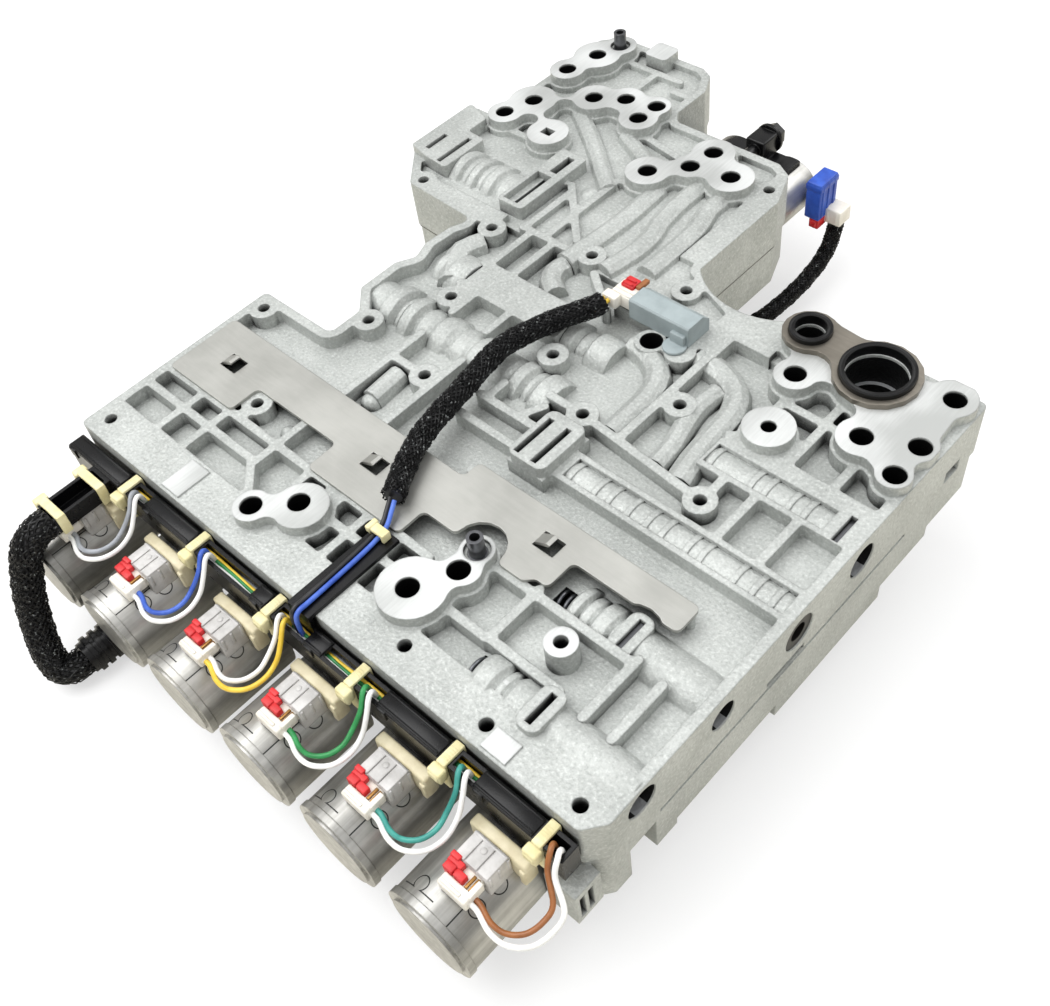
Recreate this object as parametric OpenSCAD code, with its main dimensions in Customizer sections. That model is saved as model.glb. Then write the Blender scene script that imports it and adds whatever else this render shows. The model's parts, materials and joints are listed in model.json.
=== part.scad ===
// Hydraulic valve body of an automatic gearbox: two die-cast halves, spool valves and solenoids.
// Millimetres. Origin on the axis of the front dowel, in the plane of the machined mating pads, +Z up.

/* [Castings] */
// Height of the upper casting from its joint to the mating pads
upper_h = 24; // [23:0.5:28]
// Rise of the machined pads above the cast rim
pad_rise = 4; // [3:0.5:5]
// Depth of the cast pockets below the rim
pocket_depth = 5.5; // [4:0.5:7]
// Depth of the shallow pockets on the tower
tower_pocket = 2.5; // [2:0.25:4]
// Width of the rim around the upper casting
rim_w = 3.5; // [2.5:0.5:4.5]
// Width of the cast ribs
rib_w = 3; // [2:0.25:4]
// Fillet in the corners of the pockets
pocket_fillet = 1; // [0.5:0.25:1.5]
// Rise of the raised oil passages above the pocket floor
passage_rise = 5.5; // [5:0.25:7]
// Thickness of the separator plate
separator_t = 1; // [0.6:0.2:2]
// Height of the lower casting at its front
lower_h = 25; // [24:0.5:28]
// Height of the support bosses under the lower casting
foot_h = 18; // [16:0.5:24]
// Radius of the support bosses
foot_r = 7; // [5:0.5:9]

/* [Valves] */
// Bore radius of the front valve
front_bore_r = 5.5; // [4.5:0.25:6]
// Bore radius of the second valve
second_bore_r = 5; // [4:0.25:6]
// Bore radius of the long middle valve
long_bore_r = 6.5; // [5:0.25:7]
// Bore radius of the rear right valve
rear_bore_r = 6; // [5:0.25:6.5]
// Bore radius of the left valve
left_bore_r = 6.5; // [5:0.25:7]
// Bore radius of the tower valve
tower_bore_r = 6.5; // [5:0.25:7]
// Radial clearance of a spool in its bore
spool_gap = 0.03; // [0.02:0.01:0.08]
// Wall of the casting around a bore
bore_wall = 3.5; // [2.5:0.25:4]
// Thickness of the retainer keys
key_t = 2; // [1.5:0.25:2.5]
// Wire radius of the valve springs
spring_wire_r = 0.6; // [0.4:0.1:0.8]

/* [Pads, holes and seals] */
// Radius of the oil holes in the pads
oil_hole_r = 3.7; // [3:0.1:4]
// Radius of the tapped holes in the bosses
tapped_r = 2.2; // [1.8:0.1:2.6]
// Radius of the cast bosses around the tapped holes
boss_r = 5; // [4:0.25:6]
// Outer radius of the dowel sleeves
dowel_r = 2.6; // [2:0.1:3]
// Height of the dowel sleeves above the pads
dowel_rise = 6; // [4:0.5:10]
// Depth of the dowel sleeves in their bores
dowel_depth = 8; // [6:0.5:10]
// Thickness of the seal plate
seal_plate_t = 2; // [1.5:0.25:3]
// Radius of the small oil port
small_port_r = 5; // [4:0.25:5.5]
// Radius of the large oil port
large_port_r = 10; // [8:0.25:10.5]
// Width of the rubber rings
ring_w = 2.1; // [1.5:0.1:2.3]
// Rise of the rubber rings above the seal plate
ring_rise = 1.6; // [0.5:0.1:3]
// Thickness of the clip plate
clip_t = 1.2; // [0.8:0.1:2]

/* [Solenoids] */
// Spacing of the front solenoids
solenoid_pitch = 37.5; // [36:0.25:38.5]
// Radius of a solenoid can
can_r = 15; // [13:0.25:16]
// Length of a solenoid can
can_l = 34; // [30:0.5:40]
// Radius of a solenoid's hydraulic nose
nose_r = 8; // [6:0.25:9]
// Length of the nose inside the lower casting
nose_l = 22; // [16:0.5:26]
// Width of the connector housing
connector_w = 12; // [10:0.25:13]
// Height of the connector housing above the can
connector_rise = 6; // [4:0.25:7]
// Radius of a rear solenoid can
rear_can_r = 10.5; // [9:0.25:11]

/* [Harness] */
// Width of the harness tray
tray_w = 6.2; // [5:0.1:7]
// Height of the harness tray
tray_h = 11; // [9:0.25:12]
// Wall of the harness tray
tray_wall = 1.3; // [1:0.1:1.8]
// Width of a cable tie
tie_w = 3.3; // [2.5:0.1:4]
// Thickness of a cable tie's strap
tie_t = 1; // [0.8:0.1:1.4]
// Radius of a single wire
wire_r = 0.8; // [0.6:0.05:0.9]
// Radius of the sensor's braided sleeve
sensor_sleeve_r = 4; // [3:0.25:4.5]
// Radius of the main braided sleeve
main_sleeve_r = 5.5; // [4:0.25:6]

/* [Hidden] */

$fn = 48;
eps = 0.01;
fit = 0.05;      // loose seat of a fixed piece in its hole

// Heights
rim_z = -pad_rise;
floor_z = rim_z - pocket_depth;
tower_floor_z = rim_z - tower_pocket;
tower_y = 119;
joint_z = -upper_h;
lower_z = joint_z - separator_t;
foot_z = lower_z - lower_h - foot_h;

// Outline of the upper casting
right_x = 83;
front_y = -44.5;
left_x = -146;
tower_x = -155;
housing_x = -165;
outline = [[left_x, front_y], [78, front_y], [right_x, -38], [right_x, 141], [-27, 141], [-27, 186], [-33, 201],
  [-40, 205], [-89, 205], [-93, 210], [-93, 228], [-98, 238], [-104, 241], [-148, 241], [tower_x, 234],
  [tower_x, 166], [housing_x, 166], [housing_x, 131], [-150, 114], [-113, 112], [-117, 104], [-118, 92],
  [-115, 84], [-119, 77], [-119, 60], [-110, 51], [-110, 37], [left_x, 37]];
bay_centre = [-5, 160];
bay_r = 30;

// Rounds the inner corners of a plan
module filled(r) offset(r = -r, $fn = 16) offset(delta = r) children();
// Rounds the outer corners of a plan by out_r and its inner corners by in_r
module rounded(out_r, in_r) filled(in_r) offset(r = out_r, $fn = 16) offset(delta = -out_r) children();

module body_plan() difference() {
  rounded(2, 3) polygon(outline);
  intersection() {
    translate(bay_centre) circle(bay_r);
    translate([-27, 120]) square([60, 80]);
  }
}

// A strip of width w along a path, with round ends
module strip(path, w) for (i = [0:len(path) - 2]) let (d = path[i + 1] - path[i]) {
  translate(path[i]) rotate(atan2(d.y, d.x)) translate([0, -w / 2]) square([norm(d), w]);
  translate(path[i]) circle(w / 2, $fn = 8);
  translate(path[i + 1]) circle(w / 2, $fn = 8);
}

// Ribs at rim height
ribs = [
  [[-146, -18], [-86, -18], [-74, -29]], [[-123, -42], [-123, -9]], [[-109, -29], [-109, -9]],
  [[-146, -9], [-12, -9]], [[-84, -18], [-84, 57]], [[-66, -9], [-66, -16]], [[-50, -9], [-50, -16]],
  [[-38, -9], [-38, -29]], [[-48, -18.5], [-14, -18.5]], [[-24, -9], [-24, -29]], [[3, -18.5], [21, -18.5]],
  [[21.5, 3], [21.5, -18], [48, -18]], [[6, 1], [58, 1]], [[58, 3], [58, -20]], [[68, 1], [68, -20]],
  [[-146, 16], [-26, 16]], [[-26, 23], [60, 23]], [[-63, 17], [-63, 56]], [[-84, 43], [-63, 43]],
  [[-83, 71], [-83, 84]], [[-66, 71], [-66, 84]], [[-92, 84], [-46, 84]], [[-92, 97], [-46, 97]],
  [[-47, 48.5], [-20, 48.5]], [[-47, 38.5], [-20, 38.5]], [[-44, 49], [-44, 57]], [[-30, 49], [-26, 57]],
  [[-28, 62], [-14, 62], [37, 57]], [[37.5, 57], [37.5, 68]], [[49, 50], [49, 68]], [[64, 50], [64, 68]],
  [[2, 61], [2, 108]], [[28, 83.5], [80, 83.5]], [[49, 84], [49, 104]], [[65, 84], [65, 100]],
  [[33, 104.5], [56, 104.5]], [[33, 97], [33, 118]], [[48.5, 104], [48.5, 120]],
  [[-97, 150], [-73, 126]], [[-94, 120], [-94, 147]], [[-84, 122], [-84, 162]], [[-95, 120.5], [-73, 120.5]],
  [[-90, 98], [-90, 120]], [[-79, 98], [-79, 118]], [[-154, 163], [-112, 163]], [[-56, 116], [-40, 104]],
  [[-131, 228], [-106, 228]], [[-118, 228], [-118, 212]], [[-104, 221], [-94, 221]], [[-92, 190], [-70, 186]]];

// Rings of the two ladder valves, whose barrels lie between two rails
ladder_top = [37, 49.3];
ladder_x = [-2, 8, 13.5, 21, 28, 34, 43, 48, 60, 66.5, 73];
short_ladder_top = [68, 80.5];
short_ladder_x = [28, 43, 48, 56.5, 62, 71];
ladder_rail = 2;
ladder_drop = 2;
barrel_drop = 0.5;
barrel_sag = 1.3;
barrel_ring = 0.45;

// Tapped holes: blind ones in bosses and in the flat flange, and six that run right through the casting
bosses = [[-104, 50], [-89, 76.5], [-40, 76.5], [-14, 62], [8, 84], [-104, 113], [-63, 123], [-24, 128],
  [-104, -1], [-140, 31]];
flange_holes = [[5, -35], [40, -38]];
through_bosses = [[-68, 43], [37, 57], [-147, 118.5], [-34, 190]];
through_flange_holes = [[-139, -37], [74, -39]];
tall_boss = [40, -8];
tapped_depth = 14;

// Machined pads: paths with lobes, each [centre, radius]
pads = [
  [[[-66.8, -31.8], 6.3], [[-54.5, -22], 9]],
  [[[-5.4, -21.5], 11], [[1.5, -7.7], 6], [[0, 0], 5.5]],
  [[[30.8, 113.6], 7], [[36, 124], 8]],
  [[[24.4, 131], 9], [[51.6, 127], 13.5]],
  [[[77, 97], 5.7], [[61.6, 103.7], 8], [[76, 110.6], 7], [[74.5, 133.3], 8]], [[[64, 109], 7], [[67, 118], 9]],
  [[[37.5, 90.2], 8.5], [[37.5, 90.2], 8.5]],
  [[[-140.4, 230.8], 7], [[-144, 220], 10], [[-147.4, 204.7], 7.4]],
  [[[-144, 179.6], 10], [[-147.5, 166.8], 7.3]],
  [[[-124.2, 194.9], 8.7], [[-112.5, 201.3], 8], [[-99.5, 204.2], 6.3], [[-100, 193.9], 8]],
  [[[-123.7, 166.3], 8.5], [[-123.7, 166.3], 8.5]],
  [[[-75.1, 169.2], 8.7], [[-63.6, 180.6], 7], [[-61.6, 192.4], 8.5]],
  [[[-63.6, 180.6], 7], [[-47.1, 183.8], 9]]];
oil_holes = [[-67, -31.9], [-56, -21.6], [-6.3, -22.3], [0.9, -8.6], [30.8, 113.6], [61.6, 103.7], [77.4, 96.8],
  [77.4, 110.6], [75.4, 133.3], [-143.9, 220], [-147.4, 204.7], [-143.6, 179.6], [-148, 166.8],
  [-124.2, 194.9], [-112.5, 201.3], [-99, 204.2], [-100, 193.9], [-75.1, 169.2], [-63.6, 180.6],
  [-61.6, 192.4], [-47.1, 183.8], [-17.7, 101.2]];
oil_hole_depth = 16;
round_pad_hole = [37.5, 90.2];
round_pad_hole_r = 2.5;
square_hole = [-123.7, 166.3];
square_hole_size = [5, 4];
sensor_pad = [[-18, 101], [-7, 103]];

// Milled patches on the front flange
patches = [[-96, -37], [47.5, -40]];
patch_size = [[9, 13], [9, 7]];
patch_rise = 0.6;

// Valves: y, depth of the axis, x of the open face, x of the blind end, bore radius
front_valve = [-26, -11, right_x, 22, front_bore_r];
second_valve = [8, -13.5, right_x, 24, second_bore_r];
long_valve = [43, -14.5, right_x, -21, long_bore_r];
rear_valve = [74, -13.5, right_x, 27, rear_bore_r];
left_valve = [65, -14.5, -119, -31, left_bore_r];
tower_valve = [137, -13.5, housing_x, -103, tower_bore_r];
valves = [front_valve, second_valve, long_valve, rear_valve, left_valve, tower_valve];

// Along each bore, measured inwards from its open face
front_plug_at = 28;
second_plug_at = 26;
long_plug_at = 0.5;
rear_plug_at = 3;
left_plug_at = 1;
tower_plug_at = 2;
inner_plug_l = 10;
end_plug_l = 9;
tower_plug_l = 19;
long_stop_l = 16;
tower_seat_l = 7;
front_plug_u = [front_plug_at, front_plug_at + inner_plug_l];
second_plug_u = [second_plug_at, second_plug_at + inner_plug_l];
long_plug_u = [long_plug_at, long_plug_at + end_plug_l];
rear_plug_u = [rear_plug_at, rear_plug_at + end_plug_l];
left_plug_u = [left_plug_at, left_plug_at + end_plug_l];
tower_plug_u = [tower_plug_at, tower_plug_at + tower_plug_l];
long_stop_u = [bore_l(long_valve) - long_stop_l, bore_l(long_valve)];
tower_seat_u = [bore_l(tower_valve) - tower_seat_l, bore_l(tower_valve)];
front_key_u = [front_plug_at + inner_plug_l * 0.6];
second_key_u = [second_plug_at + inner_plug_l * 0.6];
long_key_u = [long_stop_u[0] + long_stop_l * 0.3, long_stop_u[0] + long_stop_l * 0.75];
rear_key_u = [rear_plug_at + end_plug_l * 0.45];
tower_key_u = [tower_plug_at + tower_plug_l * 0.28, tower_plug_at + tower_plug_l * 0.81];
tower_seat_key_u = [tower_seat_u[0] + tower_seat_l * 0.5];
front_spool_l = 14;
second_spool_l = 14;
long_spool_l = 62;
rear_spool_l = 32;
left_spool_l = 52;
tower_spool_l = 24;
neck_share = 0.55;
key_gap = 0.1;
key_block_rise = 4.5;
key_len = 11;
tower_key_len = 18;
long_key_len = 17;

// Slot in the right face: its size, and its y and z
side_slot = [3, 8, 5];
side_slot_at = [121, -23];

// Recesses in the tower block: [x, y, width, length, depth]
tower_recesses = [[-110.4, 126.5, 7.2, 19.5, 4], [-106.6, 148.5, 3.4, 11, 7]];

// Beads of the round valve housings: [x from, x to, radius]
bulges = [
  [-26, -11, [[26, 34, front_bore_r + bore_wall], [34, 37, front_bore_r + bore_wall - 1],
    [37, 46, front_bore_r + bore_wall - 0.4], [46, right_x - 1, front_bore_r + bore_wall - 0.7]]],
  [8, -13.5, [[31, 35, second_bore_r + bore_wall + 1], [35, 39, second_bore_r + bore_wall],
    [39, 46, second_bore_r + bore_wall + 1], [46, right_x - 1, second_bore_r + bore_wall + 0.4]]],
  [65, -14.5, [[-117, -108, left_bore_r + bore_wall], [-108, -100, left_bore_r + bore_wall + 2],
    [-100, -98, left_bore_r + bore_wall], [-98, -91, left_bore_r + bore_wall + 1.6],
    [-91, -84, left_bore_r + bore_wall], [-84, -74, left_bore_r + bore_wall + 0.6],
    [-74, -66, left_bore_r + bore_wall], [-66, -58, left_bore_r + bore_wall + 0.6],
    [-58, -46, left_bore_r + bore_wall - 0.4], [-46, -39, left_bore_r + bore_wall + 0.8],
    [-39, -36, left_bore_r + bore_wall - 0.6], [-36, -27, left_bore_r + bore_wall + 0.8]]],
  [91, -13, [[-108, -102, 9], [-102, -92, 10.5]]],
  [91, -13, [[-46, -39, 9], [-39, -35, 7.5], [-35, -24, 9.5]]],
  [137, -13.5, [[-143, -137, tower_bore_r + bore_wall + 2.5], [-137, -134, tower_bore_r + bore_wall + 1.5],
    [-134, -129, tower_bore_r + bore_wall + 2.5], [-129, -126, tower_bore_r + bore_wall + 1.5],
    [-126, -120, tower_bore_r + bore_wall + 2.5], [-120, -111, tower_bore_r + bore_wall + 1.5]]]];

// Raised oil passages: points along the crest and half width
passages = [
  [[[-2, 107], [9, 105.5], [17.5, 101], [22, 93], [23, 82], [24, 70], [26, 60]], 5],
  [[[-24, 99.5], [-14, 97], [-7, 91.5], [-4, 83], [-3.5, 73], [-3.5, 63]], 4.8],
  [[[12.5, 98], [11.5, 89], [13, 80], [15.5, 71], [16.5, 61]], 3.8],
  [[[-70, 116], [-70.5, 111], [-68, 106], [-62, 102]], 4.5],
  [[[-104, 108], [-107, 100], [-104, 92], [-98, 84]], 5],
  [[[-78, 40], [-77.5, 33], [-77, 26]], 4]];
tower_passages = [
  [[[-69, 168], [-68, 155], [-68, 140], [-69, 128], [-70, 116]], 4.8],
  [[[-57, 178], [-57, 164], [-55.5, 152], [-53, 143], [-53, 132], [-55, 120]], 4.8],
  [[[-45.5, 182], [-45.5, 168], [-42.5, 157], [-42, 143], [-42, 128]], 4.8],
  [[[-127, 189], [-115, 181], [-103, 172], [-92, 163], [-84, 157]], 4],
  [[[-101, 187], [-90, 182], [-80, 177]], 3.6]];
tower_passage_rise = 3.8;
domes = [[-89, -1, 3], [-89, 152, 5], [-77, 26, 4]];

// Front solenoids
solenoid_z = lower_z - 13;
solenoid_y = front_y - 3.5;
row_mid_x = -38.25;
function solenoid_x(i) = row_mid_x + (i - 2.5) * solenoid_pitch;
connector_shift = 3.5;
connector_top = solenoid_z + can_r + connector_rise;

// Harness
tray_gap = tie_t + 0.3;
tray_y = [front_y - tray_gap - tray_w, front_y - tray_gap];
tray_top = rim_z - 5;
tray_x = [-146, 79];
arm_x = [-131, -121];
arm_h = 6.2;
arm_y = -74;
function tie_x(i) = solenoid_x(i) + (i < 5 ? 18.5 : 15.4);
tongue_x = [-32, -22.5];
tongue_t = 1.4;
tongue_end = -11;

// Points of the cords
sensor_route = [[-38.8, 101.2, 2.2], [-39.5, 98.6, 1.9], [-42.4, 93.5, 1.4], [-46, 87, 1], [-50, 76, 0.9],
  [-52, 66, 1.1], [-51.3, 56, 1], [-49.5, 46, 0.9], [-48, 36.5, 0.9], [-46, 27, 1.4], [-43, 17, 1.7],
  [-38.5, 7, 1.7], [-33, -2.5, 1.8]];
sensor_lead_route = [[-32.5, -3.4, 1.8], [-31, -6.5, 0.4], [-29, -11, -1.2], [-28, -18, -1.7],
  [-27.4, -30, -1.7],
  [-27, -43, -1.6], [-26.8, -47.4, -1.5], [-26.6, -49.2, -4], [-26.5, -49.2, -12]];
main_route = [[-125.5, -74.1, -12.4], [-125.5, -78.5, -12.4], [-125.7, -84.5, -16], [-126.3, -89.2, -26],
  [-126, -93, -36],
  [-123.5, -96.5, -46], [-119.5, -99.3, -54.5], [-114.8, -99.5, -60], [-112, -95.8, -61], [-112, -91.6, -61]];
rear_route = [[-28, 231, -41.5], [-28, 230.8, -44], [-27.8, 229, -48.2], [-27.4, 225.5, -52.3],
  [-26.8, 219, -55], [-26, 208, -56.3], [-26, 196, -57], [-27, 184, -57.5], [-29, 174, -57.5],
  [-32, 165, -56.5], [-34.5, 158.5, -53],
  [-35.8, 154.6, -48], [-36, 154, -42.8]];
// One lead loop, from the plug to the tray, seen from its solenoid's axis
loop_points = [[9.15, -72, -20.3], [12, -72.3, -20.3], [18, -74.2, -19.5], [24, -74, -18], [29, -70.5, -17],
  [31, -65, -16], [30.5, -59.5, -14], [29.2, -55.5, -10], [27.5, -52.2, -6.6], [26.4, -50, -7.4],
  [25.8, -48.9, -12]];
loop_share = 0.84;
last_shift = -5;

function unit(v) = v / norm(v);
function heading(p, i) = unit(p[min(i + 1, len(p) - 1)] - p[max(i - 1, 0)]);
// Adds a point midway along each stretch of a path, on the curve through its neighbours
function midway(p, i) = (9 * (p[i] + p[i + 1]) - p[max(i - 1, 0)] - p[min(i + 2, len(p) - 1)]) / 16;
function smooth(p) = [for (i = [0:len(p) - 1]) each i < len(p) - 1 ? [p[i], midway(p, i)] : [p[i]]];

// A round cord along a path, as one swept solid
module cord(path, r, sides = 8, up = [0, 0, 1]) {
  rings = len(path);
  points = [for (i = [0:rings - 1]) let (t = heading(path, i), s = unit(cross(t, up)), u = cross(s, t))
    for (k = [0:sides - 1]) path[i] + r * (cos(360 * k / sides) * s + sin(360 * k / sides) * u)];
  walls = [for (i = [0:rings - 2], k = [0:sides - 1]) let (a = i * sides + k, b = i * sides + (k + 1) % sides)
    [a, b, b + sides, a + sides]];
  first = [for (k = [sides - 1:-1:0]) k];
  last = [for (k = [0:sides - 1]) (rings - 1) * sides + k];
  polyhedron(points, concat([first, last], walls), convexity = 6);
}

// A row of beads turned about one valve axis, kept above the joint
bead_groove = 1;
bead_crown = 0.25;
module beads(y, z, rows) {
  last = len(rows) - 1;
  function foot_r(a, b) = min(rows[max(a, 0)][2], rows[min(b, last)][2]) - bead_groove;
  outline = concat([[0, rows[0][0]], [foot_r(0, 0), rows[0][0]]],
    [for (i = [0:last]) let (b = rows[i], l = b[1] - b[0]) each [[b[2] - bead_crown, b[0] + 0.2 * l],
      [b[2] - bead_crown, b[1] - 0.2 * l], [foot_r(i, i + 1), b[1]]]], [[0, rows[last][1]]]);
  intersection() {
    translate([0, y, z]) rotate([0, 90, 0]) rotate_extrude() polygon(outline);
    translate([rows[0][0] - 1, y - 20, joint_z + 2]) cube([rows[last][1] - rows[0][0] + 2, 40, 40]);
  }
}

// A raised passage: a half-round crest swept along a plan path, sunk into the floor
module passage(route, half_w, crest_z) {
  path = smooth(route);
  rings = len(path);
  steps = 5;
  shoulder = crest_z - half_w;
  profile = concat([[half_w + 0.6, floor_z - 2]], [for (k = [0:steps]) [half_w * cos(180 * k / steps),
    shoulder + half_w * sin(180 * k / steps)]], [[-half_w - 0.6, floor_z - 2]]);
  sides = len(profile);
  points = [for (i = [0:rings - 1]) let (t = heading(path, i)) for (p = profile)
    [path[i].x - t.y * p.x, path[i].y + t.x * p.x, p.y]];
  walls = [for (i = [0:rings - 2], k = [0:sides - 1]) let (a = i * sides + k, b = i * sides + (k + 1) % sides)
    [a + sides, b + sides, b, a]];
  first = [for (k = [0:sides - 1]) k];
  last = [for (k = [sides - 1:-1:0]) (rings - 1) * sides + k];
  polyhedron(points, concat([first, last], walls), convexity = 6);
}

module pad_plan() intersection() {
  filled(4) for (pad = pads) {
    for (lobe = pad) translate(lobe[0]) circle(lobe[1], $fn = 28);
    for (i = [0:len(pad) - 2]) strip([pad[i][0], pad[i + 1][0]], 1.3 * min(pad[i][1], pad[i + 1][1]));
  }
  offset(delta = -0.4) body_plan();
}

// The flat blocks over the tower valve's keys
module housing_plan() rounded(1.5, 1.5) {
  translate([-112, 124.5]) square([12.5, 38]);
  polygon([[housing_x + 0.4, 129.5], [-155, 127.5], [-142.5, 126.5], [-142.5, 149], [-152, 149.5], [-152, 160],
    [housing_x + 0.4, 164]]);
}

// Pockets are the plan inside the rim, less everything that stands at rim height
module pocket_plan() offset(r = pocket_fillet, $fn = 8) offset(delta = -pocket_fillet) difference() {
  offset(delta = -rim_w) body_plan();
  for (path = ribs) strip(path, rib_w);
  for (p = concat(bosses, through_bosses, sensor_pad)) translate(p) circle(boss_r + 0.5, $fn = 16);
  translate([left_x, front_y]) square([right_x - left_x, -29 - front_y]);
  translate([-37, 141]) square([12, 70]);
  translate([-6, 118]) square([24, 14]);
  translate([-152, 113]) square([48, 9]);
  translate([-40, 108]) square([44, 12]);
  translate([-91, 85]) square([46, 11]);
  offset(delta = 1) pad_plan();
  housing_plan();
  ladder_plan();
}

module ladder_plan() {
  translate([-3, ladder_top[0]]) square([82, ladder_top[1] - ladder_top[0]]);
  translate([27, short_ladder_top[0]]) square([52, short_ladder_top[1] - short_ladder_top[0]]);
  translate([-20, 33]) square([15, 22]);
}

// The trough of a ladder valve: a channel around its barrel, which carries a ring at each x of xs
module ladder_trough(xs, ys, end_x) {
  half_w = (ys[1] - ys[0]) / 2 - ladder_rail;
  r = (half_w * half_w + barrel_sag * barrel_sag) / (2 * barrel_sag);
  mid_y = (ys[0] + ys[1]) / 2;
  barrel_z = rim_z - barrel_drop - r;
  difference() {
    translate([xs[0], mid_y - half_w, rim_z - ladder_drop]) cube([end_x - xs[0], 2 * half_w, ladder_drop + 1]);
    translate([xs[0] - 1, mid_y, barrel_z]) rotate([0, 90, 0]) cylinder(r = r, h = end_x - xs[0] + 2);
    for (x = xs) translate([x + 0.8, mid_y, barrel_z]) rotate([0, 90, 0])
      cylinder(r = r + barrel_ring, h = ladder_rail);
  }
}

// Local frame of a valve: z runs inwards along the bore from the open face, x points up
module at_valve(v) translate([v[2], v[0], v[1]]) rotate([0, v[3] < v[2] ? -90 : 90, 0])
  rotate(v[3] < v[2] ? 0 : 180) children();
function bore_l(v) = abs(v[3] - v[2]);

// The slot of a retainer key, open at the top
module key_slots(v, us, l) at_valve(v) for (u = us)
  translate([0, -l / 2, u - key_t / 2 - key_gap]) cube([2 * upper_h, l, key_t + 2 * key_gap]);

module upper_body() color("gainsboro") difference() {
  union() {
    difference() {
      translate([0, 0, joint_z]) linear_extrude(rim_z - joint_z) body_plan();
      translate([0, 0, floor_z]) linear_extrude(pocket_depth + 1) intersection() {
        pocket_plan();
        translate([housing_x, front_y]) square([right_x - housing_x, tower_y - front_y]);
      }
      translate([0, 0, tower_floor_z]) linear_extrude(tower_pocket + 1) intersection() {
        pocket_plan();
        translate([housing_x, tower_y - eps]) square([right_x - housing_x, 200]);
      }
      ladder_trough(ladder_x, ladder_top, 79);
      ladder_trough(short_ladder_x, short_ladder_top, 71);
    }
    translate([0, 0, floor_z - 1]) linear_extrude(-floor_z + 1) pad_plan();
    translate([0, 0, floor_z - 1]) linear_extrude(-floor_z) housing_plan();
    for (b = bulges) beads(b[0], b[1], b[2]);
    for (p = passages) passage(p[0], p[1], floor_z + passage_rise);
    for (p = tower_passages) passage(p[0], p[1], tower_floor_z + tower_passage_rise);
    for (d = domes) translate([d.x, d.y, floor_z]) sphere(d.z);
    translate([tall_boss.x, tall_boss.y, floor_z - 1]) cylinder(r = boss_r, h = -floor_z + 1);
    translate([-20, 33, floor_z]) linear_extrude(pocket_depth + key_block_rise) rounded(3, 0.5)
      square([15, 22]);
    for (v = [front_valve, second_valve]) let (u = v == front_valve ? front_key_u[0] : second_key_u[0])
      translate([right_x - u, v[0], floor_z]) linear_extrude(v[1] + v[4] + bore_wall + 0.5 - floor_z)
        rounded(3, 0.5) square([8, 15], center = true);
    for (i = [0, 1]) translate([patches[i].x, patches[i].y, floor_z]) linear_extrude(pocket_depth + patch_rise)
      square(patch_size[i], center = true);
    translate([-128, 231.5, floor_z]) linear_extrude(-floor_z) rounded(2, 0.5) square([11, 10.5]);
  }
  for (p = concat(bosses, flange_holes)) translate([p.x, p.y, rim_z - tapped_depth])
    cylinder(r = tapped_r, h = tapped_depth + 1);
  for (p = concat(through_bosses, through_flange_holes)) translate([p.x, p.y, joint_z - 1])
    cylinder(r = tapped_r, h = upper_h + 2);
  translate([tall_boss.x, tall_boss.y, -tapped_depth]) cylinder(r = tapped_r, h = tapped_depth + 1);
  for (p = oil_holes) translate([p.x, p.y, -oil_hole_depth]) cylinder(r = oil_hole_r, h = oil_hole_depth + 1);
  translate([round_pad_hole.x, round_pad_hole.y, -oil_hole_depth])
    cylinder(r = round_pad_hole_r, h = oil_hole_depth + 1);
  translate([square_hole.x, square_hole.y, -4]) linear_extrude(10) square(square_hole_size, center = true);
  for (d = dowels) translate([d.x, d.y, -dowel_depth]) {
    cylinder(r = dowel_r + dowel_collar + fit, h = dowel_depth + 1);
    translate([0, 0, dowel_depth - dowel_recess]) cylinder(r = dowel_recess_r, h = dowel_recess + 1);
  }
  for (v = valves) at_valve(v) translate([0, 0, -1]) cylinder(r = v[4], h = bore_l(v) + 1);
  key_slots(front_valve, front_key_u, key_len);
  key_slots(second_valve, second_key_u, key_len);
  key_slots(long_valve, long_key_u, long_key_len);
  key_slots(rear_valve, rear_key_u, key_len);
  key_slots(tower_valve, [tower_key_u[0]], key_len);
  key_slots(tower_valve, [tower_key_u[1]], tower_key_len);
  key_slots(tower_valve, tower_seat_key_u, tower_key_len);
  translate([right_x - side_slot.x, side_slot_at.x, side_slot_at.y]) cube(side_slot);
  for (r = tower_recesses) translate([r[0], r[1], -r[4]]) cube([r[2], r[3], r[4] + 1]);
  port(small_port, small_port_r);
  port(large_port, large_port_r);
  for (p = bolt_places) translate([p.x, p.y, joint_z - 1]) cylinder(r = bolt_r + fit, h = bolt_grip + 1);
}

// Oil ports under the seal plate
small_port = [24.4, 131];
large_port = [51.6, 127.5];
port_mouth = 12;
port_step_h = 5;
port_step = 1.4;
module port(p, r) translate([p.x, p.y, 0]) {
  translate([0, 0, -port_mouth]) cylinder(r = r, h = port_mouth + 1);
  translate([0, 0, -port_mouth - port_step_h]) cylinder(r = r - port_step, h = port_mouth);
  translate([0, 0, joint_z - 1]) cylinder(r = r - 2 * port_step, h = upper_h);
}

dowels = [[0, 0], [-140.4, 230.8]];
dowel_collar = 0.5;
dowel_recess = 1.5;
dowel_recess_r = dowel_r + 1.6;
module dowel(p) color("dimgray") translate([p.x, p.y, 0]) difference() {
  union() {
    translate([0, 0, -dowel_depth]) cylinder(r = dowel_r + dowel_collar, h = dowel_depth - dowel_recess);
    translate([0, 0, -dowel_depth]) cylinder(r = dowel_r, h = dowel_depth + dowel_rise);
  }
  translate([0, 0, -dowel_depth - 1]) cylinder(r = dowel_r * 0.6, h = dowel_depth + dowel_rise + 2);
}
module front_dowel() dowel(dowels[0]);
module rear_dowel() dowel(dowels[1]);

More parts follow.
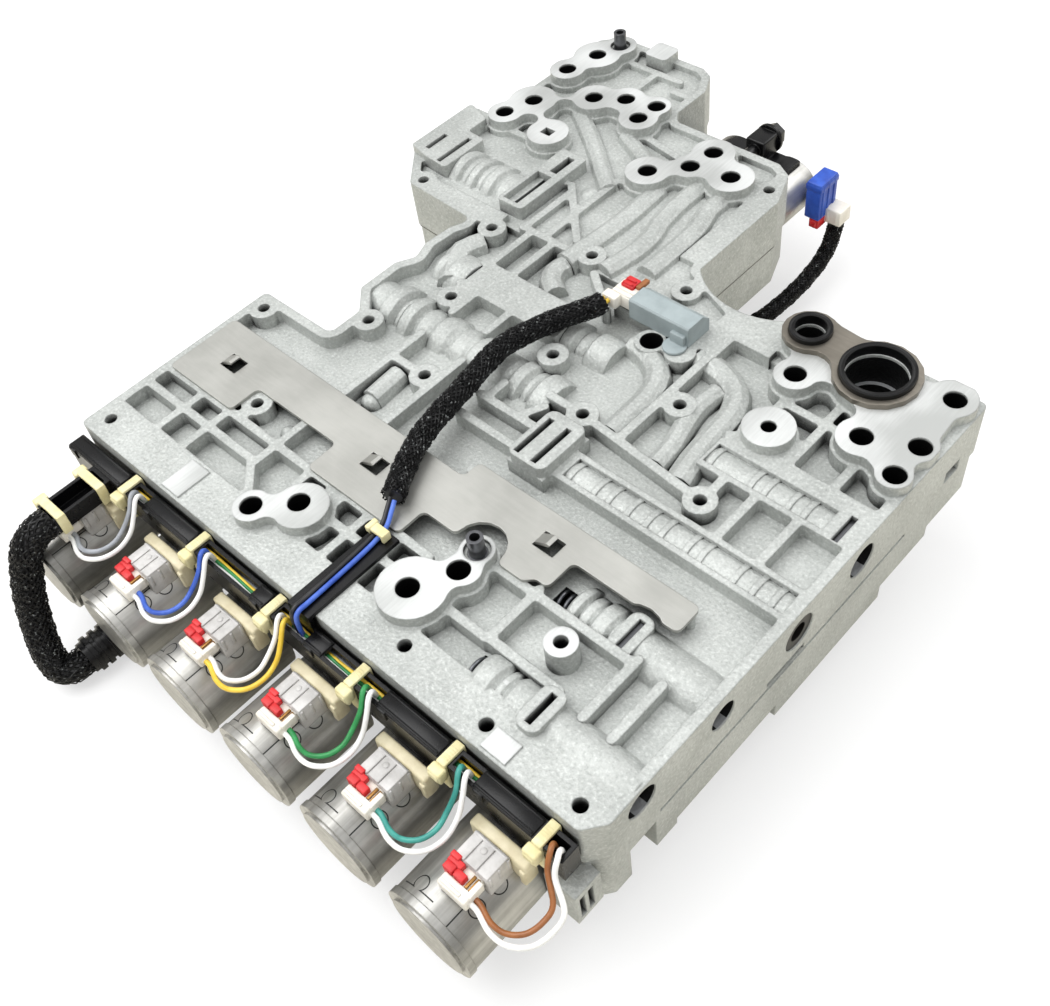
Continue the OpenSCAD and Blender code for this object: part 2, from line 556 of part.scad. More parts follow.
// Bolts that hold the castings together, put in from below
bolt_places = [[solenoid_x(0.5), -36], [solenoid_x(2.5), -36], [solenoid_x(4.4), -37], [70, 25], [68, 127],
  [-75, 25], [-45, 127], [-140, 190],
  [-58, 172], [-115, 215]];
bolt_r = 3;
bolt_grip = 9;
bolt_head_r = 5.5;
bolt_head_h = 5;
function bolt_seat(p) = lower_bottom(p.y);
module body_bolts() color("slategray") for (p = bolt_places) translate([p.x, p.y, 0]) {
  translate([0, 0, bolt_seat(p)]) cylinder(r = bolt_r, h = joint_z + bolt_grip - 0.5 - bolt_seat(p));
  translate([0, 0, bolt_seat(p) - 1]) cylinder(r = bolt_head_r + 1.5, h = 1);
  translate([0, 0, bolt_seat(p) - 1 - bolt_head_h]) cylinder(r = bolt_head_r, h = bolt_head_h, $fn = 6);
}

// Underside of the lower casting, stepped along y: [y from, depth below the casting's front]
lower_steps = [[-60, 0], [-11, 3], [36, -3], [92, 3], [118, 8]];
function lower_bottom(y) = let (hits = [for (s = lower_steps) if (s[0] <= y) s[1]])
  lower_z - lower_h + hits[len(hits) - 1];
lower_inset = 0.8;
module lower_plan() offset(delta = -lower_inset) body_plan();
module lower_body() color("silver") difference() {
  union() {
    for (i = [0:len(lower_steps) - 1]) let (s = lower_steps[i], top = lower_z,
      y1 = i < len(lower_steps) - 1 ? lower_steps[i + 1][0] : 300, z0 = lower_z - lower_h + s[1])
      translate([0, 0, z0]) linear_extrude(top - z0) intersection() {
        lower_plan();
        translate([-300, s[0]]) square([600, y1 - s[0]]);
      }
    for (p = foot_places) translate([p.x, p.y, foot_z])
      cylinder(r = foot_r, h = lower_bottom(p.y) - foot_z + 2);
    translate([filter_port.x, filter_port.y, foot_z + 3])
      cylinder(r = filter_port_r + 4, h = lower_bottom(filter_port.y) - foot_z);
    translate([corner_block_x, front_y - 8, lower_z - 19]) cube([11, 10, 17]);
  }
  for (i = [0:5]) translate([solenoid_x(i), front_y - 1, solenoid_z]) rotate([-90, 0, 0])
    cylinder(r = nose_r + fit, h = nose_l + 2);
  for (x = rear_can_x) translate([x, 206, rear_can_z]) rotate([90, 0, 0])
    cylinder(r = rear_nose_r + fit, h = 16);
  translate([filter_port.x, filter_port.y, foot_z]) cylinder(r = filter_port_r, h = foot_h + 12);
  for (p = bolt_places) translate([p.x, p.y, bolt_seat(p) - 1]) cylinder(r = bolt_r + fit, h = lower_h + 2);
  translate([70, -31, lower_z - lower_h - 1]) cube([20, 11, lower_h - 8]);
  translate([81, -18, lower_z - 6]) cube([3, 120, 1.5]);
  translate([80, 30, lower_z - 4]) cube([4, 18, 3.2]);
  for (y = [front_y - 6.5, front_y - 3.2]) translate([corner_block_x + 5, y, lower_z - 17]) cube([8, 2, 12]);
}
corner_block_x = solenoid_x(5) + can_r + 0.5;
foot_places = [[-128, 8], [62, 6], [60, 108], [-62, 84], [-135, 176], [-60, 188]];
filter_port = [-35, 45];
filter_port_r = 14;

module separator_plate() color("tan") translate([0, 0, lower_z]) linear_extrude(separator_t) difference() {
  offset(delta = -0.4) body_plan();
  for (p = bolt_places) translate(p) circle(bolt_r + fit);
}

// Stamped clip plate on the ribs
clip_outline = [[-142.5, 20], [-142.5, -9], [-108, -9], [-108, 3], [-67.5, 3], [-67.5, -9.3], [-25, -9.3], [-25, 1.5],
  [-13, 1.5], [7, 1.5], [16, 1.5], [19, 4.3], [23.5, 4.3], [23.5, 15.5], [61.5, 15.5], [61.5, 26], [-25, 26],
  [-25, 18.8]];
clip_tabs = [[-124.5, 5.5], [-51, 5], [13.5, 16]];
clip_window = [8, 6.2];
tab_w = 4;
module clip_plate() color("darkgray") translate([0, 0, rim_z]) {
  linear_extrude(clip_t) difference() {
    rounded(2, 2) difference() {
      polygon(clip_outline);
      translate([-2.5, 3]) circle(8.5);
      translate([right_x - second_key_u[0], 8]) circle(9.2);
    }
    for (t = clip_tabs) translate(t) square(clip_window, center = true);
  }
  for (t = clip_tabs) translate([t.x - clip_window.x / 2, t.y + tab_w / 2, 0]) rotate([90, 0, 0])
    linear_extrude(tab_w) polygon([[-eps, 0], [clip_window.x * 0.72, 3], [clip_window.x * 0.8, 3 + clip_t],
      [clip_window.x * 0.6, 3 + clip_t], [-eps, clip_t]]);
}

// Seal plate with two rubber rings around the oil ports
small_seal_r = small_port_r + ring_w;
large_seal_r = large_port_r + ring_w;
module seal_plate() color("rosybrown") linear_extrude(seal_plate_t) difference() {
  rounded(2, 7) {
    translate(small_port) circle(small_seal_r + 2.2);
    translate(large_port) circle(large_seal_r + 2.2);
    strip([small_port + [0, 2], large_port + [0, 3]], 12);
  }
  translate(small_port) circle(small_seal_r + fit);
  translate(large_port) circle(large_seal_r + fit);
}
ring_step = 0.2;
module ring(p, r) color("black") translate([p.x, p.y, 0]) rotate_extrude() translate([r + ring_step, 0])
  difference() {
  square([ring_w - ring_step, seal_plate_t + ring_rise]);
  translate([(ring_w - ring_step) / 2, seal_plate_t + ring_rise + 0.5]) circle(0.8);
}
module small_ring() ring(small_port, small_port_r);
module large_ring() ring(large_port, large_port_r);

// A spool with lands at both ends and between, z = 0 at the end that meets its stop
module spool(v, l) {
  land = v[4] - spool_gap;
  neck = v[4] * neck_share;
  lands = l > 40 ? 4 : (l > 20 ? 3 : 2);
  land_l = l / (lands * 1.8);
  step = (l - land_l) / (lands - 1);
  cylinder(r = neck, h = l);
  for (i = [0:lands - 1]) translate([0, 0, i * step]) cylinder(r = land, h = land_l);
  translate([0, 0, l]) cylinder(r = v[4] * 0.4, h = 2);
}
// A closed helix for the spring
module coil(v, l) {
  turns = 4;
  steps = 10;
  r = v[4] - spring_wire_r - 0.4;
  cord([for (i = [0:turns * steps]) let (a = 360 * i / steps, h = i / (turns * steps))
    [r * cos(a), r * sin(a), spring_wire_r + 0.1 + h * (l - 2 * spring_wire_r - 0.2)]], spring_wire_r, 5);
}
module plug(v, us, key_us) at_valve(v) difference() {
  translate([0, 0, us[0]]) cylinder(r = v[4] - fit, h = us[1] - us[0]);
  for (u = key_us) translate([0, 0, u - key_t / 2]) difference() {
    cylinder(r = v[4] + 1, h = key_t);
    translate([0, 0, -1]) cylinder(r = v[4] * neck_share, h = key_t + 2);
  }
  translate([0, 0, us[0] - 1]) cylinder(r = v[4] * 0.5, h = 3);
}
// A saddle-shaped key that drops over a plug's neck
module keys(v, us, l, top) at_valve(v) for (u = us)
  translate([0, 0, u - key_t / 2 + key_gap]) linear_extrude(key_t - 2 * key_gap) difference() {
    translate([key_gap, -l / 2 + key_gap]) square([top - v[1] - key_gap, l - 2 * key_gap]);
    circle(v[4] * neck_share + key_gap);
  }
module retainer_keys() color("gray") {
  keys(front_valve, front_key_u, key_len, rim_z - 2);
  keys(second_valve, second_key_u, key_len, rim_z - 2);
  keys(long_valve, long_key_u, long_key_len, rim_z - 1);
  keys(rear_valve, rear_key_u, key_len, rim_z - 2);
  keys(tower_valve, [tower_key_u[0]], key_len, rim_z - 2);
  keys(tower_valve, [tower_key_u[1]], tower_key_len, rim_z);
  keys(tower_valve, tower_seat_key_u, tower_key_len, rim_z - 2);
}

// Each train is plug, spool, spring, except the long valve, where the spring sits behind the plug
rest_gap = 0.1;
module train_spool(v, us, l) color("lightsteelblue") at_valve(v) translate([0, 0, us[1] + rest_gap]) spool(v, l);
module train_spring(v, us, l, end_u) color("dimgray") at_valve(v) translate([0, 0, us[1] + rest_gap + l])
  coil(v, end_u - us[1] - rest_gap - l);
module front_spool() train_spool(front_valve, front_plug_u, front_spool_l);
module second_spool() train_spool(second_valve, second_plug_u, second_spool_l);
module rear_spool() train_spool(rear_valve, rear_plug_u, rear_spool_l);
module left_spool() train_spool(left_valve, left_plug_u, left_spool_l);
module tower_spool() train_spool(tower_valve, tower_plug_u, tower_spool_l);
module long_spool() color("lightsteelblue") at_valve(long_valve)
  translate([0, 0, long_stop_u[0] - rest_gap]) mirror([0, 0, 1]) spool(long_valve, long_spool_l);
module front_spring() train_spring(front_valve, front_plug_u, front_spool_l, bore_l(front_valve));
module second_spring() train_spring(second_valve, second_plug_u, second_spool_l, bore_l(second_valve));
module rear_spring() train_spring(rear_valve, rear_plug_u, rear_spool_l, bore_l(rear_valve));
module left_spring() train_spring(left_valve, left_plug_u, left_spool_l, bore_l(left_valve));
module tower_spring() train_spring(tower_valve, tower_plug_u, tower_spool_l, tower_seat_u[0]);
module long_spring() color("dimgray") at_valve(long_valve) translate([0, 0, long_plug_u[1]])
  coil(long_valve, long_stop_u[0] - rest_gap - long_spool_l - long_plug_u[1]);
module front_plug() color("silver") plug(front_valve, front_plug_u, front_key_u);
module second_plug() color("silver") plug(second_valve, second_plug_u, second_key_u);
module long_plug() color("silver") plug(long_valve, long_plug_u, []);
module rear_plug() color("silver") plug(rear_valve, rear_plug_u, rear_key_u);
module left_plug() color("silver") plug(left_valve, left_plug_u, []);
module tower_plug() color("silver") plug(tower_valve, tower_plug_u, tower_key_u);
module long_stop() color("silver") plug(long_valve, long_stop_u, long_key_u);
module tower_seat() color("silver") plug(tower_valve, tower_seat_u, tower_seat_key_u);

// A front solenoid: nose, neck flange, can and crimped end cap, all turned about one axis
cap_h = 2.3;
flange_l = front_y + lower_inset - solenoid_y - fit;
crimp = 0.4;
module can(i) color("silver") translate([solenoid_x(i), solenoid_y, solenoid_z]) rotate([90, 0, 0]) {
  translate([0, 0, -nose_l - 3.5]) cylinder(r = nose_r, h = nose_l + 4);
  translate([0, 0, -flange_l]) cylinder(r = can_r - 3, h = flange_l + 1);
  cylinder(r = can_r, h = can_l);
  translate([0, 0, can_l - cap_h]) cylinder(r = can_r + crimp, h = cap_h);
  translate([0, 0, can_l]) cylinder(r = can_r - 2, h = 0.8);
}
module can_1() can(0);
module can_2() can(1);
module can_3() can(2);
module can_4() can(3);
module can_5() can(4);
module can_6() can(5);

// Connector housing with its mounting bar, hollowed to sit on the can
bar_y = [-57.2, -53.3];
bar_x = [-6, 14.5];
housing_y = [-66, bar_y[0]];
module connector(i) color("ivory") translate([solenoid_x(i), 0, 0]) difference() {
  union() {
    translate([bar_x[0], bar_y[0], solenoid_z + can_r - 5]) cube([bar_x[1] - bar_x[0], bar_y[1] - bar_y[0], 10]);
    translate([connector_shift - connector_w / 2, housing_y[0], solenoid_z + can_r - 5])
      cube([connector_w, housing_y[1] - housing_y[0] + eps, connector_rise + 5]);
    for (x = [-3, 0, 3]) translate([connector_shift + x - 0.4, housing_y[0] + 1, connector_top - eps])
      cube([0.8, housing_y[1] - housing_y[0] - 1, 0.4]);
  }
  translate([0, 0, solenoid_z]) rotate([90, 0, 0]) cylinder(r = can_r + fit, h = 200);
  translate([connector_shift - connector_w / 2 + 1.2, housing_y[0] - 1, solenoid_z + can_r + 0.5])
    cube([connector_w - 2.4, 6, connector_rise - 2]);
}
module connector_1() connector(0);
module connector_2() connector(1);
module connector_3() connector(2);
module connector_4() connector(3);
module connector_5() connector(4);
module connector_6() connector(5);

// Harness plugs with their lock, pushed into the connectors
plug_end_y = -74;
module harness_plugs() color("linen") for (i = [0:5]) translate([solenoid_x(i) + connector_shift, 0, 0]) {
  translate([-connector_w / 2 + 1.4, housing_y[0] + 0.1, solenoid_z + can_r + 0.7])
    cube([connector_w - 2.8, 4.8, connector_rise - 2.4]);
  translate([-4, plug_end_y, solenoid_z + can_r + 0.4])
    cube([9.5, housing_y[0] - plug_end_y - 0.1, connector_rise - 1]);
  translate([-6.5, plug_end_y + 2.5, solenoid_z + can_r + 2])
    cube([6.5, housing_y[0] - plug_end_y - 2.6, connector_rise - 1.5]);
}
module solenoid_leads() color("white") for (i = [0:5]) translate([solenoid_x(i), 0, 0]) {
  shift = [i < 5 ? 0 : last_shift, 0, 0];
  cord([for (k = [0:len(loop_points) - 1]) loop_points[k] + (k > 6 ? shift : [0, 0, 0])], wire_r);
  cord([for (k = [0:len(loop_points) - 1]) let (p = loop_points[k]) k > 6 ? p + shift - [2.5, 0, 0]
    : [9.15 + (p.x - 9.15) * loop_share, -62 + (p.y + 62) * loop_share, p.z]], wire_r);
}

// Tray: a channel along the solenoids with lids, an arm at its left end and a tongue over the flange
// Lids between the wire openings, each seen from the solenoid to its left
lids = [[29, 58.5], [47, 58.5], [35, 43], [29, 58.5], [29, 54.5]];
arm_ties = [-56, -71.5];
module harness_tray() color("black") {
  difference() {
    translate([tray_x[0], tray_y[0], tray_top - tray_h]) cube([tray_x[1] - tray_x[0], tray_w, tray_h]);
    translate([tray_x[0] + tray_wall, tray_y[0] + tray_wall, tray_top - tray_h + tray_wall])
      cube([tray_x[1] - tray_x[0] - 2 * tray_wall, tray_w - 2 * tray_wall, tray_h]);
  }
  for (k = [0:len(lids) - 1]) translate([solenoid_x(k) + lids[k][0], tray_y[0] + tray_wall - eps,
    tray_top - tray_wall]) cube([lids[k][1] - lids[k][0], tray_w - 2 * tray_wall + 2 * eps, tray_wall]);
  translate([tray_x[0], tray_y[0] + tray_wall - eps, tray_top - tray_wall])
    cube([solenoid_x(0) + 21 - tray_x[0], tray_w - 2 * tray_wall + 2 * eps, tray_wall]);
  difference() {
    translate([arm_x[0], arm_y, tray_top - arm_h]) cube([arm_x[1] - arm_x[0], tray_y[0] - arm_y + eps, arm_h]);
    translate([arm_x[0] + tray_wall, arm_y - 1, tray_top - arm_h + tray_wall])
      cube([arm_x[1] - arm_x[0] - 2 * tray_wall, tray_y[0] - arm_y + 1 - tray_wall, arm_h]);
  }
  translate([tongue_x[0], tray_y[1] - tray_wall, rim_z])
    cube([tongue_x[1] - tongue_x[0], tongue_end - tray_y[1] + tray_wall, tongue_t]);
  translate([tongue_x[0], tray_y[1] - tray_wall, tray_top - 1])
    cube([tongue_x[1] - tongue_x[0], tray_wall, rim_z - tray_top + 1 + tongue_t]);
}
tray_wire_r = 0.6;
tray_wire_x = [-140, 60];
module tray_wires() color("seagreen") for (k = [0:2]) translate([tray_wire_x[0], (tray_y[0] + tray_y[1]) / 2
  + (k - 1) * tray_wire_r * 1.8, tray_top - tray_h * 0.55 - abs(k - 1) * tray_wire_r * 2.1]) rotate([0, 90, 0])
  cylinder(r = tray_wire_r, h = tray_wire_x[1] - tray_wire_x[0]);

// Cable ties: straps around the tray, the arm and the tongue
module strap(x0, w, ys, zs) difference() {
  translate([x0, ys[0] - tie_t, zs[0] - tie_t]) cube([w, ys[1] - ys[0] + 2 * tie_t, zs[1] - zs[0] + 2 * tie_t]);
  translate([x0 - 1, ys[0] - fit, zs[0] - fit]) cube([w + 2, ys[1] - ys[0] + 2 * fit, zs[1] - zs[0] + 2 * fit]);
}
module cable_ties() color("khaki") {
  for (i = [0:5]) translate([tie_x(i), 0, 0]) {
    strap(-tie_w / 2, tie_w, tray_y, [tray_top - tray_h, tray_top]);
    translate([-tie_w / 2 - 0.8, tray_y[0] - tie_t - 3, tray_top - 4.5]) cube([tie_w + 1.6, 3 + eps, 4.5]);
  }
  for (y = arm_ties) translate([0, y, 0]) rotate(90)
    strap(-tie_w / 2, tie_w, [-arm_x[1], -arm_x[0]], [tray_top - arm_h, tray_top]);
  for (y = arm_ties) translate([arm_x[0] - tie_t - 3, y - tie_w / 2 - 0.8, tray_top - 4.5])
    cube([3 + eps, tie_w + 1.6, 4.5]);
  translate([tongue_x[0] + 0.3, tongue_end - 0.8 - tie_w, rim_z + tongue_t]) difference() {
    cube([7, tie_w, 3.4]);
    translate([tie_t, -1, -1]) cube([7 - 2 * tie_t, tie_w + 2, 3.4]);
  }
}

// Temperature sensor on the tower ledge
sensor_box = [[-31, 105.7], [-5.7, 117]];
sensor_top = 4;
module sensor_block() color("lightslategray") {
  translate([sensor_box[0].x, 0, 0]) rotate([90, 0, 90]) linear_extrude(sensor_box[1].x - sensor_box[0].x)
    polygon([[sensor_box[0].y, rim_z], [sensor_box[1].y, rim_z], [sensor_box[1].y, 1],
      [sensor_box[1].y - 3.5, sensor_top],
      [sensor_box[0].y + 0.6, sensor_top], [sensor_box[0].y, sensor_top - 0.6]]);
}
module sensor_plug() color("ivory") {
  translate([-40, 106.5, -2]) cube([9, 8, 5]);
  translate([-38, 111.5, 3 - eps]) cube([6, 6, 1.5]);
  translate([-41, 103, -1]) cube([6, 3.5 + eps, 5]);
}
module sensor_sleeve() color("black") cord(sensor_route, sensor_sleeve_r, 10);
module sensor_leads() color("royalblue") for (k = [-1, 1])
  cord([for (p = sensor_lead_route) p + [k * 0.95, 0, 0]], wire_r);

module main_sleeve() color("black") cord(main_route, main_sleeve_r, 10, [1, 0, 0.4]);
main_end_z = foot_z + 7;
module main_connector() color("black") translate([-112, -91.4, main_end_z]) rotate([-90, 0, 0]) {
  cylinder(r = 6, h = 24);
  for (k = [0:5]) translate([0, 0, 2 + 3.4 * k]) cylinder(r = 7, h = 1.8);
}

// Rear solenoids on the back of the tower, with their bracket
rear_can_x = [-76, -51];
rear_can_z = lower_z - 9;
rear_can_y = [207, 234];
rear_nose_r = 6;
module rear_can(x) color("silver") translate([x, rear_can_y[0], rear_can_z]) rotate([-90, 0, 0]) {
  translate([0, 0, -14]) cylinder(r = rear_nose_r, h = 15);
  cylinder(r = rear_can_r, h = rear_can_y[1] - rear_can_y[0]);
  translate([0, 0, rear_can_y[1] - rear_can_y[0]]) cylinder(r = rear_can_r - 2, h = 1);
}
module rear_can_left() rear_can(rear_can_x[0]);
module rear_can_right() rear_can(rear_can_x[1]);
bracket_y = [222, 232];
bracket_wall = 2.5;
bracket_lug_w = 9;
bracket_bolt_z = -17;
bracket_bolt_r = 2.8;
rear_mid_x = (rear_can_x[0] + rear_can_x[1]) / 2;
module rear_bracket() color("black") {
  translate([0, bracket_y[0], 0]) rotate([-90, 0, 0]) linear_extrude(bracket_y[1] - bracket_y[0]) difference() {
    union() {
      for (x = rear_can_x) translate([x, -rear_can_z]) circle(rear_can_r + bracket_wall);
      translate([rear_can_x[0], -rear_can_z - rear_can_r - bracket_wall])
        square([rear_can_x[1] - rear_can_x[0], 8]);
      translate([rear_mid_x - bracket_lug_w / 2, -bracket_bolt_z - bracket_lug_w / 2])
        square([bracket_lug_w, bracket_bolt_z - rear_can_z]);
    }
    for (x = rear_can_x) translate([x, -rear_can_z]) circle(rear_can_r + fit);
  }
  translate([rear_mid_x, 0, bracket_bolt_z]) rotate([-90, 0, 0]) {
    translate([0, 0, 205 + fit]) cylinder(r = bracket_bolt_r, h = bracket_y[1] - 205);
    translate([0, 0, bracket_y[1] - eps]) cylinder(r = bracket_bolt_r + 3.4, h = 1.5);
    translate([0, 0, bracket_y[1] + 1]) cylinder(r = bracket_bolt_r + 1.9, h = 4.5, $fn = 6);
  }
}
rear_socket = [7, 12, 17];
rear_socket_top = rear_can_z + 13;
lead_plug = [8, 8, 7];
lead_plug_at = [-32, 227, -41];
module rear_connector() color("mediumblue") {
  translate([rear_can_x[1] + rear_can_r + bracket_wall + fit, bracket_y[1] + 2 - rear_socket.y,
    rear_socket_top - rear_socket.z])
    cube(rear_socket);
  translate(lead_plug_at) cube(lead_plug);
}
module rear_sleeve() color("black") cord(rear_route, 3.4, 8, [1, 0, 0.3]);

upper_body();
separator_plate();
lower_body();
body_bolts();
clip_plate();
seal_plate();
small_ring();
large_ring();
front_dowel();
rear_dowel();
retainer_keys();
front_spool();
second_spool();
long_spool();
rear_spool();
left_spool();
tower_spool();
front_spring();
second_spring();
long_spring();
rear_spring();
left_spring();
tower_spring();
front_plug();
second_plug();
long_plug();
rear_plug();
left_plug();
tower_plug();
long_stop();
tower_seat();
can_1();
can_2();
can_3();
can_4();
can_5();
can_6();
connector_1();
connector_2();
connector_3();
connector_4();
connector_5();
connector_6();
harness_plugs();
solenoid_leads();
harness_tray();
tray_wires();
cable_ties();
sensor_block();
sensor_plug();
sensor_sleeve();
sensor_leads();
main_sleeve();
main_connector();
rear_can_left();
rear_can_right();
rear_bracket();
rear_connector();
rear_sleeve();
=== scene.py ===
"""Looks of a valve body with its solenoid harness: finishes, wiring, connectors, springs and the studio stage."""

import json
import math

import bpy
from mathutils import Matrix, Vector


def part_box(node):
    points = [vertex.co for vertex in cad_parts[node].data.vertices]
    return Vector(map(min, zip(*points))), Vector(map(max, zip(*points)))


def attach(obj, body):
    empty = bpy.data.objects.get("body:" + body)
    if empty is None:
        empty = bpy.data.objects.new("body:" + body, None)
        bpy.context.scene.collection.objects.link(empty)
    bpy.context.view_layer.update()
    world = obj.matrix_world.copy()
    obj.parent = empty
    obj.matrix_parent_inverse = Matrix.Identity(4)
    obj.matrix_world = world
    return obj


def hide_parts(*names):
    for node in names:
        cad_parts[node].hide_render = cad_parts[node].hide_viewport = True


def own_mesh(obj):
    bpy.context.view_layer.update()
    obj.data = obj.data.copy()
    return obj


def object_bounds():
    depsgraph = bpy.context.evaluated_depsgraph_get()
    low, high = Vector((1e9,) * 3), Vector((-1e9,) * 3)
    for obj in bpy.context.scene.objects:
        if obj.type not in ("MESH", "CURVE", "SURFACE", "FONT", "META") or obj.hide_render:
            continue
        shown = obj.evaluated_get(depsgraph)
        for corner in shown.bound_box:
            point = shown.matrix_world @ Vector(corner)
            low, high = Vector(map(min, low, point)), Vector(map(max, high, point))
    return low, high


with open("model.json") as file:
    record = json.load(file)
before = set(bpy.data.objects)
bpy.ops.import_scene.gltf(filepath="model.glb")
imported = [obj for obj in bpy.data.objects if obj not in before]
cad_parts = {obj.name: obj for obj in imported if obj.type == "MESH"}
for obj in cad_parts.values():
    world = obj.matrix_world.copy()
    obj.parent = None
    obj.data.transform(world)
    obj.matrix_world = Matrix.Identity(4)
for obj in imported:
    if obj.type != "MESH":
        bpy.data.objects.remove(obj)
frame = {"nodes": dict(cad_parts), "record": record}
CAD_BOX = [list(corner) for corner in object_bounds()]
NODES = frame["nodes"]
BLOCK = "valve_body"
MM = 0.001

bl_info = {
    "name": "Valve body looks",
    "version": (1, 0, 0),
    "blender": (4, 5, 0),
    "location": "3D View > Sidebar > Valve Body",
    "description": "Dresses a valve body with finishes, wiring and connectors, and sets its studio stage",
    "category": "Object",
}

# Places along the front of the block, in millimetres
SOLENOIDS = [-132 + 37.5 * k for k in range(6)]
SOLENOID_Z = -38.0
CAN_R = 15.0
TRAY_X = (-146.0, 79.0)
TRAY_Y = (-52.0, -45.8)
TRAY_TOP = -9.0
TIES = [x + 18.5 for x in SOLENOIDS[:5]] + [SOLENOIDS[5] + 15.4]
# Start and end of the tray's lids, from each solenoid on
LIDS = ((29, 58.5), (47, 58.5), (35, 43), (29, 58.5), (29, 54.5))

# The two rear solenoids, in millimetres
REAR_CANS = (-76.0, -51.0)
REAR_Z = -34.0
REAR_R = 10.5

# Holes of the upper casting, in millimetres, where painted shade darkens the colour: oil holes by x and y, ports by
# x, y and radius, and the valve bores in the right face by y, z and radius
OIL_HOLES = ((-67, -31.9), (-56, -21.6), (-6.3, -22.3), (0.9, -8.6), (30.8, 113.6), (61.6, 103.7), (77.4, 96.8),
             (77.4, 110.6), (75.4, 133.3), (-143.9, 220), (-147.4, 204.7), (-143.6, 179.6), (-148, 166.8),
             (-124.2, 194.9), (-112.5, 201.3), (-99, 204.2), (-100, 193.9), (-75.1, 169.2), (-63.6, 180.6),
             (-61.6, 192.4), (-47.1, 183.8), (-17.7, 101.2), (37.5, 90.2))
OIL_HOLE_REACH = 4.0
OIL_HOLE_FLOOR = -17.0
PORTS = ((24.4, 131.0, 5.0), (51.6, 127.5, 10.0))
BORES = ((-26.0, -11.0, 5.5), (8.0, -13.5, 5.0), (43.0, -14.5, 6.5), (74.0, -13.5, 6.0))
# Plugs in the bores, which take a finish painted near black as shade
END_PLUGS = ("front_plug", "second_plug", "long_plug", "rear_plug", "left_plug", "tower_plug")


def linear(red, green, blue):
    """A display colour from 0 to 255 as the linear colour that sockets take."""
    def straight(value):
        value /= 255.0
        return value / 12.92 if value <= 0.04045 else ((value + 0.055) / 1.055) ** 2.4
    return (straight(red), straight(green), straight(blue), 1.0)


class Reading:
    """A socket's value, with the sums that shader maths needs."""

    def __init__(self, finish, socket):
        self.finish, self.socket = finish, socket

    def __add__(self, other):
        return self.finish.sum("ADD", self, other)

    __radd__ = __add__

    def __sub__(self, other):
        return self.finish.sum("SUBTRACT", self, other)

    def __rsub__(self, other):
        return self.finish.sum("SUBTRACT", other, self)

    def __mul__(self, other):
        return self.finish.sum("MULTIPLY", self, other)

    __rmul__ = __mul__

    def __truediv__(self, other):
        return self.finish.sum("DIVIDE", self, other)

    def __pow__(self, other):
        return self.finish.sum("POWER", self, other)

    def __abs__(self):
        return self.finish.sum("ABSOLUTE", self)

    def __gt__(self, other):
        return self.finish.sum("GREATER_THAN", self, other)

    def __lt__(self, other):
        return self.finish.sum("LESS_THAN", self, other)

    def least(self, other):
        return self.finish.sum("MINIMUM", self, other)

    def most(self, other):
        return self.finish.sum("MAXIMUM", self, other)

    def wrap(self, low, high):
        return self.finish.sum("WRAP", self, high, low)

    def rise(self, low, high):
        """0 below low and 1 above high, smooth between."""
        return self.finish.node("ShaderNodeMapRange", {"interpolation_type": "SMOOTHSTEP"},
                                {"Value": self, "From Min": low, "From Max": high})


class Finish:
    """A material or sky in the making, and the nodes it is made of."""

    made = {}

    def __init__(self, name, kind=bpy.data.materials):
        self.material = kind.new(name)
        self.material.use_nodes = True
        self.tree = self.material.node_tree
        self.tree.nodes.clear()
        self.place = self.node("ShaderNodeTexCoord", out="Object")

    def node(self, kind, settings=None, sockets=None, out=0):
        made = self.tree.nodes.new(kind)
        for key, value in (settings or {}).items():
            setattr(made, key, value)
        for key, value in (sockets or {}).items():
            if isinstance(value, Reading):
                self.tree.links.new(value.socket, made.inputs[key])
            else:
                made.inputs[key].default_value = value
        return Reading(self, made.outputs[out]) if made.outputs else None

    def sum(self, operation, *values):
        return self.node("ShaderNodeMath", {"operation": operation}, dict(enumerate(values)))

    def axis(self, name, place=None):
        return self.node("ShaderNodeSeparateXYZ", None, {0: place or self.place}, out=name)

    def mix(self, factor, first, second):
        return self.node("ShaderNodeMix", {"data_type": "RGBA"}, {0: factor, 6: first, 7: second}, out=2)

    def stretched(self, scale, turn=(0, 0, 0)):
        return self.node("ShaderNodeMapping", None, {"Vector": self.place, "Scale": scale, "Rotation": turn})

    def noise(self, scale, detail=2.0, rough=0.5, place=None):
        return self.node("ShaderNodeTexNoise", None, {"Vector": place or self.place, "Scale": scale,
                                                      "Detail": detail, "Roughness": rough})

    def cells(self, scale):
        return self.node("ShaderNodeTexVoronoi", None, {"Vector": self.place, "Scale": scale}, out="Distance")

    def depth(self, reach):
        """1 in the open and 0 deep inside a hole or corner, within a reach; the finishes use it to paint shade."""
        return self.node("ShaderNodeAmbientOcclusion", {"samples": 10}, {"Distance": reach}, out="AO")

    def soft_edges(self, radius):
        return self.node("ShaderNodeBevel", {"samples": 4}, {"Radius": radius})

    def bump(self, height, strength, distance, normal=None):
        sockets = {"Height": height, "Strength": strength, "Distance": distance}
        if normal:
            sockets["Normal"] = normal
        return self.node("ShaderNodeBump", None, sockets)

    def surface(self, **sockets):
        named = {key.replace("_", " "): value for key, value in sockets.items()}
        return self.done(self.node("ShaderNodeBsdfPrincipled", None, named))

    def done(self, shader, kind="ShaderNodeOutputMaterial"):
        self.node(kind, None, {"Surface": shader})
        return self.material


def finish_once(make):
    """Makes a material the first time it is asked for."""
    def fetch(*choice):
        key = (make.__name__,) + choice
        if key not in Finish.made:
            Finish.made[key] = make(*choice)
        return Finish.made[key]
    return fetch


